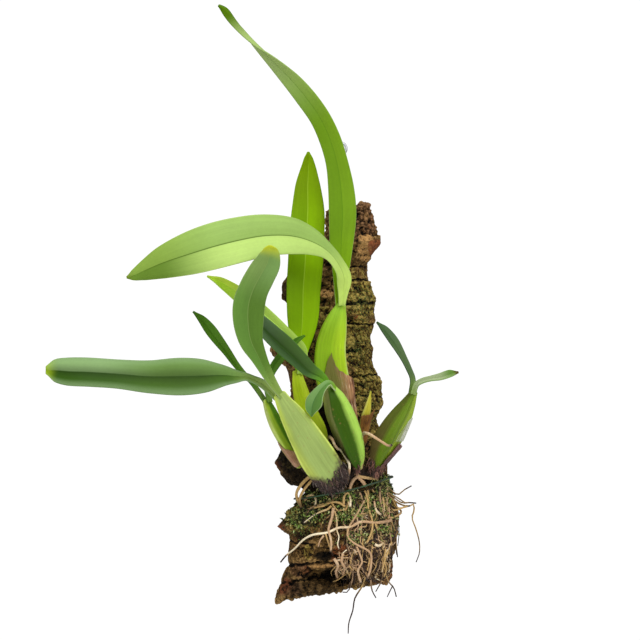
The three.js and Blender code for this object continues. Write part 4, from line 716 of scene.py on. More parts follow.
class Bundle:
    """Many small shapes gathered into one mesh, with a tone, a hue and a share for each point."""

    def __init__(self):
        self.points, self.faces, self.tones, self.hues, self.shares = [], [], [], [], []

    def add(self, point, tone, hue, share):
        self.points.append(point)
        self.tones.append(tone)
        self.hues.append(hue)
        self.shares.append(share)

    def tube(self, route, radii, tone, sides, hue):
        """A closed tube along points, with a radius for each. Tone is a number or rows of [share, tone]."""
        front = Vector((0.1, -1, 0.2))
        start = len(self.points)
        last = len(route) - 1
        for i, middle in enumerate(route):
            along = (route[min(last, i + 1)] - route[max(0, i - 1)]).normalized()
            front = square_to(along, front)
            side = front.cross(along)
            here = keyed(tone, i / last)[0] if isinstance(tone, list) else tone
            for k in range(sides):
                turn = 2 * math.pi * k / sides
                away = side * math.cos(turn) + front * math.sin(turn)
                self.add(middle + away * radii[i], here, hue, i / last)
        for ring in range(last):
            for k in range(sides):
                a = start + ring * sides + k
                b = start + ring * sides + (k + 1) % sides
                self.faces.append((a, b, b + sides, a + sides))
        self.faces.append(tuple(start + k for k in range(sides))[::-1])
        self.faces.append(tuple(start + last * sides + k for k in range(sides)))

    def spike(self, foot, tip, width, tone, hue):
        """A slim three-sided spike, bent a little half way."""
        along = (tip - foot).normalized()
        front = square_to(along, Vector((0.3, -0.5, 0.8)))
        side = front.cross(along)
        start = len(self.points)
        for share, reach in ((0, 0.6), (0.5, 1)):
            middle = foot.lerp(tip, share) + front * width * (0.8 if share else 0)
            for k in range(3):
                turn = 2 * math.pi * k / 3
                away = side * math.cos(turn) + front * math.sin(turn)
                self.add(middle + away * width * reach, tone, hue, share)
        self.add(tip, tone, hue, 0.9)
        for k in range(3):
            a, b = start + k, start + (k + 1) % 3
            self.faces.append((a, b, b + 3, a + 3))
            self.faces.append((a + 3, b + 3, start + 6))
        self.faces.append((start + 2, start + 1, start))

    def made(self, name):
        mesh = bpy.data.meshes.new(name)
        mesh.from_pydata(self.points, [], self.faces)
        piece = bpy.data.objects.new(name, mesh)
        bpy.context.scene.collection.objects.link(piece)
        for kind, values in (("tone", self.tones), ("hue", self.hues), ("share", self.shares)):
            note(piece, kind, values)
        close_up(piece, 0)
        return piece


# Finishes


def paint(text):
    """A colour written as #rrggbb, made linear."""
    parts = [int(text[i:i + 2], 16) / 255 for i in (1, 3, 5)]
    linear = [p / 12.92 if p <= 0.04045 else ((p + 0.055) / 1.055) ** 2.4 for p in parts]
    return (*linear, 1.0)


def painted(labels, texts):
    """The colours that a finish takes, from their texts."""
    return {label: paint(text) for label, text in zip(labels, texts)}


def put(tree, kind, sockets=None, **settings):
    """Adds a node, with its settings and what its sockets hold or are linked to."""
    made = tree.nodes.new(kind)
    for name, value in settings.items():
        setattr(made, name, value)
    for name, value in (sockets or {}).items():
        if isinstance(value, bpy.types.NodeSocket):
            tree.links.new(value, made.inputs[name])
        else:
            made.inputs[name].default_value = value
    return made


def tree_of(*values):
    """The node tree that the first socket among some values is in."""
    return next(value for value in values if isinstance(value, bpy.types.NodeSocket)).id_data


def calc(operation, *values):
    """A sum of sockets and numbers."""
    sockets = dict(enumerate(values))
    return put(tree_of(*values), "ShaderNodeMath", sockets, operation=operation).outputs[0]


def plus(a, b):
    return calc("ADD", a, b)


def minus(a, b):
    return calc("SUBTRACT", a, b)


def times(a, b):
    return calc("MULTIPLY", a, b)


def scaled(value, factor, offset):
    """A value multiplied, and then moved."""
    return calc("MULTIPLY_ADD", value, factor, offset)


def smooth(value, low, high, to_low=0.0, to_high=1.0):
    """A value's soft step between the ends of a range."""
    sockets = {"Value": value, "From Min": low, "From Max": high, "To Min": to_low, "To Max": to_high}
    return put(tree_of(value), "ShaderNodeMapRange", sockets, interpolation_type="SMOOTHSTEP").outputs[0]


def mixed(share, a, b, how="MIX"):
    sockets = {0: share, 6: a, 7: b}
    return put(tree_of(share, a, b), "ShaderNodeMix", sockets, data_type="RGBA", blend_type=how).outputs[2]


def grain(vector, scale, detail=4.0, rough=0.55, distortion=0.0):
    sockets = {"Vector": vector, "Scale": scale, "Detail": detail, "Roughness": rough}
    sockets["Distortion"] = distortion
    return put(tree_of(vector), "ShaderNodeTexNoise", sockets).outputs[0]


def stretched(vector, x, y, z=1.0):
    sockets = {0: vector, 1: (x, y, z)}
    return put(tree_of(vector), "ShaderNodeVectorMath", sockets, operation="MULTIPLY").outputs[0]


def slanted(vector, along, across):
    """A place turned so that noise runs down to the right over the bark's front."""
    tree = tree_of(vector)
    x, y, z = put(tree, "ShaderNodeSeparateXYZ", {0: vector}).outputs
    sockets = {0: times(minus(x, z), along), 1: times(y, along), 2: times(plus(x, z), across)}
    return put(tree, "ShaderNodeCombineXYZ", sockets).outputs[0]


def dimmed(shade, light, share=1.0):
    """A colour multiplied by a lightness, as far as the share says."""
    grey = put(tree_of(light), "ShaderNodeCombineColor", {0: light, 1: light, 2: light}).outputs[0]
    return mixed(share, shade, grey, "MULTIPLY")


def tinted(shade, value, amount):
    """A colour made lighter and darker by a value round a half."""
    return dimmed(shade, scaled(value, 2 * amount, 1 - amount))


def object_place(tree):
    return put(tree, "ShaderNodeTexCoord").outputs["Object"]


def own_uv(tree):
    """A place in a mesh's own UV, with its share across and its share along."""
    uv = put(tree, "ShaderNodeUVMap", uv_map="UVMap").outputs[0]
    across, along, _ = put(tree, "ShaderNodeSeparateXYZ", {0: uv}).outputs
    return uv, across, along


def mark(tree, name):
    """The number that a mesh keeps for each point under a name."""
    return put(tree, "ShaderNodeAttribute", attribute_name=name).outputs["Fac"]


def group(name, colours, numbers, build):
    """A node group that takes colours and numbers, and gives a finish's colour, roughness and height."""
    tree = bpy.data.node_groups.new(name, "ShaderNodeTree")
    takes = [(label, "NodeSocketColor") for label in colours]
    takes += [(label, "NodeSocketFloat") for label in numbers]
    for label, kind in takes:
        tree.interface.new_socket(label, in_out="INPUT", socket_type=kind)
    gives = {"Color": "NodeSocketColor", "Roughness": "NodeSocketFloat", "Height": "NodeSocketFloat"}
    for label, kind in gives.items():
        tree.interface.new_socket(label, in_out="OUTPUT", socket_type=kind)
    given = tree.nodes.new("NodeGroupInput").outputs
    out = tree.nodes.new("NodeGroupOutput")
    for label, value in zip(gives, build(tree, given)):
        tree.links.new(value, out.inputs[label])
    return tree


def skin(name, colours, numbers=()):
    """Makes a function that fills a node group into one that gives the group, built when first asked for."""
    def wrap(build):
        kept = []

        def ask():
            if not kept:
                kept.append(group(name, colours, numbers, build))
            return kept[0]
        return ask
    return wrap


def finish(name, group_tree, values, strength=0.3, distance=0.001, **shader):
    """A material whose colour, roughness and height come from a node group."""
    material = bpy.data.materials.new(name)
    material.use_nodes = True
    tree = material.node_tree
    surface = tree.nodes["Principled BSDF"]
    made = put(tree, "ShaderNodeGroup", values, node_tree=group_tree)
    sockets = {"Strength": strength, "Distance": distance, "Height": made.outputs["Height"]}
    bump = put(tree, "ShaderNodeBump", sockets)
    tree.links.new(made.outputs["Color"], surface.inputs["Base Color"])
    tree.links.new(made.outputs["Roughness"], surface.inputs["Roughness"])
    tree.links.new(bump.outputs[0], surface.inputs["Normal"])
    for label, value in shader.items():
        surface.inputs[label.replace("_", " ")].default_value = value
    return material


LEAF_COLOURS = ("Stalk", "Left", "Right", "Far Left", "Far Right", "Tip", "Midrib", "Margin")
LEAF_NUMBERS = ("Midrib Width", "Margin Width", "Far Start", "Tip Start", "Fold Shade")


@skin("Leaf skin", LEAF_COLOURS, LEAF_NUMBERS)
def leaf_skin(tree, given):
    uv, whole, along = own_uv(tree)
    across = calc("ABSOLUTE", scaled(whole, 2.0, -1.0))
    here = object_place(tree)
    soft = grain(here, 38.0, 3.0)
    fine = grain(stretched(uv, 90.0, 5.0), 1.0, 3.0, 0.6)
    wide = grain(stretched(uv, 14.0, 2.2), 1.0, 2.0)

    # The halves' colours, near and far, hold painted light and shade: one half lit, the other shaded.
    half = smooth(whole, 0.47, 0.53)
    near = mixed(half, given["Left"], given["Right"])
    far = mixed(half, given["Far Left"], given["Far Right"])
    far_end = plus(given["Far Start"], 0.3)
    shade = mixed(smooth(along, given["Far Start"], far_end), near, far)
    shade = mixed(smooth(along, 0.2, 0.04), shade, given["Stalk"])
    shade = tinted(shade, soft, 0.1)
    shade = tinted(shade, wide, 0.12)
    shade = tinted(shade, fine, 0.1)
    shade = tinted(shade, grain(here, 420.0, 3.0, 0.7), 0.08)
    # Painted shade: darker towards the midrib than at the margins, as far as the leaf's number says.
    fold_shade = smooth(across, 0.0, 0.9, minus(1.0, given["Fold Shade"]), 1.0)
    shade = dimmed(shade, fold_shade, smooth(along, 0.12, 0.3))
    core = times(given["Midrib Width"], 0.3)
    rib = minus(1.0, smooth(across, core, given["Midrib Width"]))
    rib = times(rib, smooth(along, 0.98, 0.85))
    rib = times(rib, smooth(along, 0.05, 0.25, 0.5, 1.0))
    shade = mixed(times(rib, 0.8), shade, given["Midrib"])
    rim = smooth(across, minus(1.0, given["Margin Width"]), 1.0)
    shade = mixed(times(rim, 0.85), shade, given["Margin"])
    ragged = plus(along, scaled(soft, 0.06, -0.03))
    tip = smooth(ragged, given["Tip Start"], plus(given["Tip Start"], 0.14))
    shade = mixed(tip, shade, given["Tip"])
    rough = scaled(smooth(along, 0.7, 0.9), 0.35, scaled(soft, 0.14, 0.42))
    height = scaled(fine, 0.3, times(rib, -0.8))
    height = scaled(grain(here, 900.0, 2.0), 0.05, height)
    height = times(height, smooth(along, 0.7, 0.5, 0.1, 1.0))
    return shade, rough, height


BULB_COLOURS = ("Left", "Left Low", "Middle", "Right", "Ridge", "Foot", "Top")
BULB_NUMBERS = ("Left Turn", "Right Turn", "Softness", "Foot Start", "Top End", "Ridge Strength")


@skin("Bulb skin", BULB_COLOURS, BULB_NUMBERS)
def bulb_skin(tree, given):
    uv, across, along = own_uv(tree)
    here = object_place(tree)
    soft = grain(here, 55.0, 3.0)
    blot = grain(here, 140.0, 4.0, 0.6)
    streak = grain(stretched(uv, 90.0, 4.0), 1.0, 4.0, 0.65, 0.6)
    broad = grain(stretched(uv, 30.0, 2.2), 1.0, 4.0, 0.6, 0.5)
    crest = mark(tree, "ridge")
    turn = scaled(soft, 16.0, scaled(across, 360.0, -8.0))
    # The colours by turn round the bulb are painted light and shade: lighter on the side towards the light,
    # darker on the other, and on some bulbs a painted shadow low on the left.
    left_turn, right_turn, soften = given["Left Turn"], given["Right Turn"], given["Softness"]
    left = smooth(turn, minus(left_turn, soften), plus(left_turn, soften))
    right = smooth(turn, plus(right_turn, soften), minus(right_turn, soften))
    round_back = smooth(turn, 290.0, 330.0)
    dim = mixed(smooth(along, 0.25, 0.75), given["Left"], given["Left Low"])
    shade = mixed(left, given["Middle"], dim)
    shade = mixed(calc("MAXIMUM", right, round_back), shade, given["Right"])
    shade = mixed(smooth(along, given["Top End"], 0.0), shade, given["Top"])
    shade = tinted(shade, streak, 0.22)
    shade = tinted(shade, broad, 0.3)
    shade = tinted(shade, soft, 0.14)
    # The ridge colour is partly the bulb's own paler edge and partly a painted highlight along its sharpest
    # edge.
    ridge = smooth(scaled(soft, 0.2, crest), 0.97, 1.12)
    shade = mixed(times(ridge, given["Ridge Strength"]), shade, given["Ridge"])
    stain = scaled(crest, 0.2, scaled(along, 0.32, blot))
    shade = mixed(smooth(stain, 0.9, 1.12, 0.0, 0.45), shade, paint("#6e5a34"))
    speck = smooth(grain(here, 420.0, 2.0), 0.64, 0.74)
    shade = mixed(times(speck, 0.35), shade, paint("#a0764c"))
    ragged = scaled(streak, 0.12, scaled(blot, 0.2, -0.2))
    reach = scaled(crest, 0.12, plus(along, ragged))
    low = smooth(reach, minus(given["Foot Start"], 0.06), plus(given["Foot Start"], 0.06))
    shade = mixed(low, shade, tinted(given["Foot"], streak, 0.7))
    rough = scaled(low, 0.3, scaled(soft, 0.16, 0.36))
    height = scaled(streak, 0.6, times(broad, 0.6))
    return shade, rough, height


def leaf_finish(name, looks):
    values = painted(LEAF_COLOURS, looks)
    values.update(zip(LEAF_NUMBERS, looks[len(LEAF_COLOURS):]))
    return finish(name, leaf_skin(), values, 0.25, Specular_IOR_Level=0.1)


def bulb_finish(name, looks):
    values = painted(BULB_COLOURS, looks)
    values.update(zip(BULB_NUMBERS, looks[len(BULB_COLOURS):]))
    return finish(name, bulb_skin(), values, 0.3, Specular_IOR_Level=0.14)


# The colours that the bark's finish takes, and the panel's names for them
BARK_COLOURS = {
    "Deep": "bark_deep", "Body": "bark_body", "High": "bark_high", "Rust": "bark_rust", "Pale": "bark_pale",
    "Plum": "bark_plum", "Moss": "moss", "Moss High": "moss_high",
}


@skin("Bark skin", BARK_COLOURS)
def bark_skin(tree, given):
    here = object_place(tree)
    coarse = grain(here, 130.0, 5.0, 0.7)
    fine = grain(here, 620.0, 4.0, 0.75)
    patch = grain(here, 55.0, 4.0, 0.6)
    cells = put(tree, "ShaderNodeTexVoronoi", {"Vector": here, "Scale": 520.0, "Randomness": 1.0})
    crumb = smooth(cells.outputs[0], 0.65, 0.1)
    cavity = scaled(coarse, 0.7, plus(mark(tree, "cavity"), -0.35))
    cavity = scaled(fine, 0.7, plus(cavity, -0.35))
    strand = grain(slanted(here, 190.0, 640.0), 1.0, 3.0, 0.6, 0.4)
    wild = times(plus(strand, -0.5), scaled(mark(tree, "moss"), 1.0, 0.3))
    cavity = scaled(crumb, 0.16, plus(cavity, -0.06))
    cavity = scaled(wild, 1.3, cavity)
    # Painted shade deep in the hollows, and on the crests a colour that is partly worn bark and partly a
    # painted highlight.
    shade = mixed(smooth(cavity, 0.1, 0.42), given["Deep"], given["Body"])
    shade = mixed(smooth(cavity, 0.5, 0.95), shade, given["High"])
    loose = scaled(patch, 1.0, -0.5)
    plum = smooth(plus(mark(tree, "plum"), loose), 0.2, 0.7)
    shade = mixed(plum, shade, given["Plum"], "MULTIPLY")
    pale = smooth(plus(mark(tree, "pale"), loose), 0.35, 0.8)
    shade = mixed(times(pale, smooth(cavity, -0.1, 0.5)), shade, given["Pale"])
    rust = smooth(plus(mark(tree, "rust"), loose), 0.3, 0.6)
    rust = times(rust, smooth(cavity, 0.2, 0.6))
    shade = mixed(times(rust, 0.8), shade, given["Rust"])
    moss = smooth(plus(mark(tree, "moss"), scaled(coarse, 1.6, -0.8)), 0.25, 0.6)
    moss = times(moss, smooth(cavity, 0.25, 0.5))
    # The moss is painted darker in the bark's hollows and lighter on its crests, as painted shade and
    # highlight.
    green = mixed(smooth(cavity, 0.45, 0.9), given["Moss"], given["Moss High"])
    shade = mixed(times(moss, 0.85), shade, green)
    shade = tinted(shade, fine, 0.4)
    # Painted shade from the shade patches and the cracks.
    dark = minus(1.0, times(smooth(mark(tree, "dark"), 0.05, 0.9), 0.9))
    shade = dimmed(shade, dark)
    rough = scaled(fine, 0.15, 0.8)
    height = scaled(fine, 0.8, scaled(crumb, 0.6, coarse))
    height = scaled(wild, 2.0, height)
    return shade, rough, height


FIBRE_COLOURS = ("Dark", "Light", "Warm", "End", "Bright")


@skin("Fibre skin", FIBRE_COLOURS)
def fibre_skin(tree, given):
    """Tone 0 is dark, 1 light, below 0 towards the end colour and over 1 towards the bright one."""
    here = object_place(tree)
    soft = grain(here, 140.0, 4.0, 0.6)
    wide = grain(here, 60.0, 2.0)
    fine = grain(here, 1400.0, 2.0)
    own = mark(tree, "tone")
    tone = plus(own, scaled(soft, 0.8, -0.4))
    hue = plus(mark(tree, "hue"), scaled(wide, 0.8, -0.4))
    light = mixed(smooth(hue, 0.35, 0.65), given["Light"], given["Warm"])
    shade = mixed(smooth(tone, 0.05, 0.95), given["Dark"], light)
    shade = mixed(smooth(tone, 0.95, 1.45), shade, given["Bright"])
    shade = mixed(smooth(own, 0.05, -0.4), shade, given["End"])
    shade = mixed(smooth(mark(tree, "share"), 0.93, 1.0), shade, given["End"])
    shade = tinted(shade, fine, 0.3)
    rough = scaled(fine, 0.15, 0.68)
    height = plus(fine, soft)
    return shade, rough, height


PAPER_COLOURS = ("Dark", "Light", "Stripe", "Side")


@skin("Paper skin", PAPER_COLOURS, ("Side Start",))
def paper_skin(tree, given):
    uv, across, _ = own_uv(tree)
    here = object_place(tree)
    streak = grain(stretched(uv, 70.0, 2.0), 1.0, 4.0, 0.7, 0.4)
    strand = grain(stretched(uv, 150.0, 3.0), 1.0, 3.0, 0.6, 0.6)
    soft = grain(here, 90.0, 3.0)
    shade = mixed(smooth(plus(soft, streak), 0.8, 1.2), given["Dark"], given["Light"])
    shade = mixed(smooth(strand, 0.54, 0.64, 0.0, 0.8), shade, given["Stripe"])
    side = scaled(soft, 0.2, minus(across, given["Side Start"]))
    shade = mixed(smooth(side, 0.04, 0.18), shade, given["Side"])
    shade = tinted(shade, streak, 0.3)
    rough = scaled(soft, 0.2, 0.6)
    height = plus(streak, strand)
    return shade, rough, height


@skin("Wire skin", ("Body", "Dull"))
def wire_skin(tree, given):
    here = object_place(tree)
    soft = grain(here, 350.0, 4.0, 0.6)
    fine = grain(here, 2200.0, 2.0)
    shade = mixed(smooth(soft, 0.35, 0.7), given["Body"], given["Dull"])
    rough = scaled(soft, 0.35, 0.25)
    return shade, rough, fine


# Pieces


def shape_leaf(name, leaf, bulb, sizes):
    """One leaf: a petiole that opens into a blade folded along its midrib."""
    head = place(bulb["spine"][0])
    down = (place(bulb["spine"][1]) - head).normalized() * LEAF_ROOT * MM
    points = [place(leaf["spine"][0]) + down, *(place(point) for point in leaf["spine"][1:])]
    route = Route(points)
    rows = sizes.leaf_rows
    left_share, right_share, aside = UNEVEN_FOLDS.get(name, (1, 1, 0))
    frames = []
    for row in range(rows + 1):
        share = row / rows
        t = route.t_at(0.5 * share + 0.5 * math.sin(share * math.pi / 2))
        along = route.tangent(t)
        x, out, z = keyed(leaf["faces"], t * (len(points) - 1))
        face = square_to(along, Vector((x, -out, z)))
        half = spread(leaf["widths"], t) / 2
        frames.append((route.point(t), along.cross(face), face, half, ease(half, *BLADE_OPENS)))

    def surface(u, v):
        middle, side, face, half, opened = frames[round(v * rows)]
        across = 2 * u - 1
        across = math.copysign(abs(across) ** 1.2, across)
        shown = lerp(1, left_share if across < 0 else right_share, opened)
        sideways = across * shown - aside * opened
        rise = lerp(PETIOLE_FOLD, leaf["fold"], opened)
        height = half * (rise * abs(across) - leaf["curl"] * across ** 2)
        wave = noise.noise(Vector((across * 1.5, v * 5, len(name) + leaf["widths"][3])))
        height += sizes.leaf_wave / MM * wave * across ** 2 * opened
        return middle + side * sideways * half * MM + face * height * MM

    piece = grid(name + "_blade", sizes.leaf_columns, rows, surface)
    piece.vertex_groups.new(name="thick")
    for point in piece.data.vertices:
        row, column = divmod(point.index, sizes.leaf_columns + 1)
        across = abs(2 * column / sizes.leaf_columns - 1)
        weight = lerp(1, sizes.blade_thickness / sizes.petiole_thickness, frames[row][4])
        piece.vertex_groups["thick"].add([point.index], weight * (1 - 0.4 * across), "REPLACE")
    improve(piece, "SOLIDIFY", thickness=sizes.petiole_thickness, offset=0, vertex_group="thick")
    improve(piece, "SUBSURF", levels=1, render_levels=1)
    piece.vertex_groups.clear()
    return piece


class BulbSkin:
    """The skin of a pseudobulb: a point for a share of its length, an angle and a growth outwards."""

    def __init__(self, bulb):
        self.route = Route([place(point) for point in bulb["spine"]])
        self.widths, self.flats, self.depth = bulb["widths"], bulb["flats"], bulb["depth"]
        self.crispness = bulb.get("crispness", BULB_CRISPNESS)
        around = [self.reach(angle) for angle in range(0, 360, 5)]
        self.least, self.most = min(around), max(around)
        self.broad = self.span(math.cos)
        self.deep = self.span(math.sin)

    def reach(self, angle):
        pull = (max(0, math.cos(math.radians(angle - flat))) ** self.crispness for flat in self.flats)
        return sum(pull) ** (-1 / self.crispness)

    def span(self, axis):
        values = [self.reach(angle) * axis(math.radians(angle)) for angle in range(0, 360, 5)]
        return (min(values) + max(values)) / 2, (max(values) - min(values)) / 2

    def ridge(self, angle):
        return (self.reach(angle) - self.least) / (self.most - self.least)

    def point(self, share, angle, grow=0, shrink=1, beyond=0):
        t = self.route.t_at(share)
        along = self.route.tangent(t)
        front = square_to(along, Vector((0, -1, 0)))
        side = front.cross(along)
        half = spread(self.widths, t) / 2
        far = self.reach(angle)
        turn = math.radians(angle)
        across = (far * math.cos(turn) - self.broad[0]) * half / self.broad[1]
        forward = (far * math.sin(turn) - self.deep[0]) * half * self.depth / self.deep[1]
        radius = math.hypot(across, forward)
        scale = (radius + grow) / radius * shrink * MM
        return self.route.point(t) + side * across * scale + front * forward * scale + along * beyond * MM


def shape_bulb(name, bulb, seed):
    """One pseudobulb, rounded over at both ends, with shallow furrows along it."""
    shape = BulbSkin(bulb)

    def surface(u, v):
        row = round(v * BULB_ROWS)
        angle = 360 * u
        share = min(1, max(0, (row - BULB_CAP) / (BULB_ROWS - 2 * BULB_CAP)))
        turn = math.radians(angle)
        furrow = noise.noise(Vector((math.cos(turn) * 5, math.sin(turn) * 5, share * 2.5 + seed)))
        shrink, beyond = 1, 0
        if row < BULB_CAP:
            tilt = (1 - row / BULB_CAP) * math.pi / 2
            shrink, beyond = max(1e-4, math.cos(tilt)), -math.sin(tilt) * 0.9
        elif row > BULB_ROWS - BULB_CAP:
            tilt = (1 - (BULB_ROWS - row) / BULB_CAP) * math.pi / 2
            shrink, beyond = max(1e-4, math.cos(tilt)), math.sin(tilt) * 2
        return shape.point(share, angle, 0.3 * furrow, shrink, beyond)

    piece = grid(name + "_skin", BULB_COLUMNS, BULB_ROWS, surface)
    around = [shape.ridge(360 * column / BULB_COLUMNS) for column in range(BULB_COLUMNS + 1)]
    note(piece, "ridge", around * (BULB_ROWS + 1))
    close_up(piece, 2e-5)
    improve(piece, "SUBSURF", levels=1, render_levels=1)
    return piece


def shape_sheath(name, bulb, torn, foot, seed, thickness, lift, rib, flare, tear):
    """A papery patch that follows a pseudobulb's skin, ribbed, torn and flared along its upper edge."""
    shape = BulbSkin(bulb)
    first, last = torn[0][0], torn[-1][0]

    def surface(u, v):
        angle = lerp(first, last, u)
        rough = noise.noise(Vector((u * 9, seed, 0))) + 0.8 * noise.noise(Vector((u * 34, seed, 4)))
        top = keyed(torn, angle)[0] + tear * rough
        share = min(1, max(0, lerp(top, foot, v)))
        crease = noise.noise(Vector((u * 14, v * 3, seed))) + 0.7 * noise.noise(Vector((u * 46, v * 2, seed)))
        return shape.point(share, angle, SHEATH_LIFT + lift + rib * crease + flare * (1 - v) ** 3)

    piece = grid(name + "_paper", SHEATH_COLUMNS, SHEATH_ROWS, surface)
    improve(piece, "SOLIDIFY", thickness=thickness, offset=0)
    return piece


def patch_value(patches, x, z):
    """How strongly the patches colour a place, from 0 to 1."""
    most = 0
    for px, pz, half_width, half_height, strength in patches:
        away = math.hypot((x - px) / half_width, (z - pz) / half_height)
        most = max(most, strength * (1 - ease(away, 0.5, 1.3)))
    return most


def crack_depth(x, z):
    """How deep in a crack a place on the bark lies, from 0 to 1."""
    most = 0
    for crack_z, low, high, half, slope in BARK_CRACKS:
        if abs(z - crack_z) > 6:
            continue
        middle = crack_z + slope * (x - low) + 1.6 * noise.noise(Vector((x / 4, crack_z, 0)))
        wide = half * (1 + 0.7 * noise.noise(Vector((x / 3, crack_z, 9))))
        ends = ease(x, low - 3, low + 2) * (1 - ease(x, high - 2, high + 3))
        most = max(most, ends * math.exp(-((z - middle) / max(0.2, wide)) ** 2))
    return most


def crust(x, y, z):
    """The bark's relief at a place, in millimetres: plates, cracks, crumbs and chips."""
    here = Vector((x, y, z))
    warp = noise.noise_vector(here / 7) * 3
    apart = noise.voronoi(Vector((x / 13, y / 8, z / 5)) + warp / 6)[0]
    strong = 0.5 + 0.5 * noise.noise(here / 11)
    crack = -1.5 * strong * (1 - ease(apart[1] - apart[0], 0.0, 0.12))
    lumps = noise.fractal(here / 9, 0.9, 2.2, 5) * 1.7
    crumbs = noise.turbulence(here / 2.6, 3, True) * 0.9 - 0.55
    chips = noise.voronoi(here / 3.6 + warp / 3)[0][0] * -0.8 + 0.35
    top = ease(z, -78, -70)
    nodules = top * (1.5 - 3.4 * noise.voronoi(here / 3.1)[0][0])
    smooth_knob = 1 - 0.65 * patch_value(KNOB_PATCH, x, z)
    rough = crack + lumps + crumbs + chips * (1 - top)
    torn = ease(-z, 322, 336) * noise.noise(Vector((x / 3.5, y / 9, z / 9))) * 2.6
    return smooth_knob * rough + nodules + torn - 2.2 * crack_depth(x, z)


def shape_bark(sizes):
    """The bark's crust: the slab's solid in fine faces, with its relief and what colours it."""
    piece = copy_of("bark_slab", "bark_crust")
    improve(piece, "REMESH", mode="VOXEL", voxel_size=sizes.bark_grain)
    improve(piece, "SMOOTH", factor=0.5, iterations=5)
    mesh = piece.data
    points = read(mesh.vertices, "co")
    normals = read(mesh.vertex_normals, "vector")
    noise.seed_set(BARK_SEED)
    lifts = np.array([crust(*(float(c) / MM for c in point)) for point in points])
    outward = np.clip((WIRE_BACK - points[:, 1] / MM - 1.5) / 4, 0, 1)
    lifts = np.where(lifts > 0, lifts * outward, lifts * (0.35 + 0.65 * outward))
    points += normals * (lifts * MM)[:, None]
    mesh.vertices.foreach_set("co", points.ravel())
    mesh.update()

    softened = piece.copy()
    softened.data = mesh.copy()
    bpy.context.scene.collection.objects.link(softened)
    improve(softened, "SMOOTH", factor=0.5, iterations=24)
    smoothed = read(softened.data.vertices, "co")
    bpy.data.objects.remove(softened)
    raised = np.einsum("ij,ij->i", points - smoothed, normals) / MM
    note(piece, "cavity", np.clip(0.5 + raised / 1.6, 0, 1))
    spots = [(float(p[0]) / MM, float(p[2]) / MM) for p in points]
    out = WIRE_BACK - points[:, 1] / MM
    front = np.clip((out - 3) / 6, 0, 1)
    for name, patches in BARK_PATCHES.items():
        note(piece, name, [patch_value(patches, x, z) for x, z in spots] * front)
    # Painted shade, from the shade patches and the cracks, fading towards the back.
    dark = [max(patch_value(PAINTED_SHADE_PATCHES, x, z), crack_depth(x, z)) for x, z in spots]
    note(piece, "dark", dark * np.clip((out - 1) / 3, 0.3, 1))
    return piece


class Ground:
    """The finished bark's front, for what lies on it."""

    def __init__(self):
        self.tree = skin_tree("bark_crust")

    def under(self, x, z):
        """How far out the bark stands at a place in millimetres, and its normal, or None beside it."""
        hit, normal, _, _ = self.tree.ray_cast(Vector((x * MM, -0.2, z * MM)), Vector((0, 1, 0)))
        return (WIRE_BACK - hit.y / MM, normal) if hit else None

    def around(self, x, z, reach):
        found = [self.under(x + dx * reach, z + dz * reach) for dx in (-1, 0, 1) for dz in (-1, 0, 1)]
        heights = [hit[0] for hit in found if hit]
        return max(heights) if heights else None


def lay(ground, path, radii, start, lift, step=3, sag=0.12):
    """Lays a root along the bark, drawn tight over its bumps: its points and its radii."""
    flat = Route([Vector((x, 0, z)) for x, z in path])
    steps = flat.spaced(step)
    last = len(steps) - 1
    sizes = [lerp(radii[0], radii[1], i / last) for i in range(last + 1)]
    firm = []
    for spot, radius in zip(steps, sizes):
        under = ground.around(spot.x, spot.z, radius)
        seat = None if under is None else under + radius * 0.8 + lift
        firm.append(seat if seat is not None else firm[-1] if firm else start)
    first = next((out for out in firm if out is not None), BESIDE_OUT)
    firm = [first if out is None else out for out in firm]
    if start is not None:
        firm[0] = max(firm[0], start)
    for _ in range(8):
        for i in range(1, last):
            firm[i] = max(firm[i], (firm[i - 1] + firm[i + 1]) / 2 - sag)
    return [at(spot.x, out, spot.z) for spot, out in zip(steps, firm)], sizes


def knobbly(radii, seed, amount):
    """Radii in metres that swell and narrow a little along a root."""
    swells = [1 + amount * noise.noise(Vector((i * 0.7, seed * 3.1, 0))) for i in range(len(radii))]
    return [radius * MM * swell for radius, swell in zip(radii, swells)]


def ring_wire(name, route, radius, steps):
    """A round wire along a closed path, made from a bevelled curve."""
    bpy.ops.object.select_all(action="DESELECT")
    bpy.ops.curve.primitive_bezier_circle_add()
    piece = bpy.context.object
    piece.name = name
    curve = piece.data
    curve.splines.clear()
    spline = curve.splines.new("POLY")
    spline.points.add(steps - 1)
    for i, point in enumerate(spline.points):
        point.co = (*route.point(route.t_at(i / steps)), 1)
    spline.use_cyclic_u = True
    curve.bevel_depth = radius * MM
    curve.bevel_resolution = 3
    only(piece)
    bpy.ops.object.convert(target="MESH")
    piece = bpy.context.object
    piece.data.name = name
    close_up(piece)
    return piece


def joined(parent, path):
    """How far out a root starts on its parent, and its path from there."""
    x, z = path[0]
    near = min(parent, key=lambda p: math.hypot(p.x / MM - x, p.z / MM - z))
    return WIRE_BACK - near.y / MM, [[near.x / MM, near.z / MM], *path[1:]]


def wander(x, z, mat, dice):
    """A fine root's way over the block, until it ends or leaves its part of the mat."""
    wanted = math.radians(mat["turn"])
    turn = wanted + math.radians(dice.gauss(0, mat["curl"]))
    path = [[x, z]]
    for _ in range(max(2, round(dice.uniform(*mat["length"]) / ROOT_STRIDE))):
        turn = lerp(turn + math.radians(dice.gauss(0, mat["curl"])), wanted, 0.25)
        x, z = x + ROOT_STRIDE * math.cos(turn), z + ROOT_STRIDE * math.sin(turn)
        left, right = keyed(SLAB_OUTLINE, z)
        if not max(left, mat["x"][0] - 6) + 3 < x < right - 0.5 or z < mat["lowest"]:
            break
        path.append([x, z])
    return path


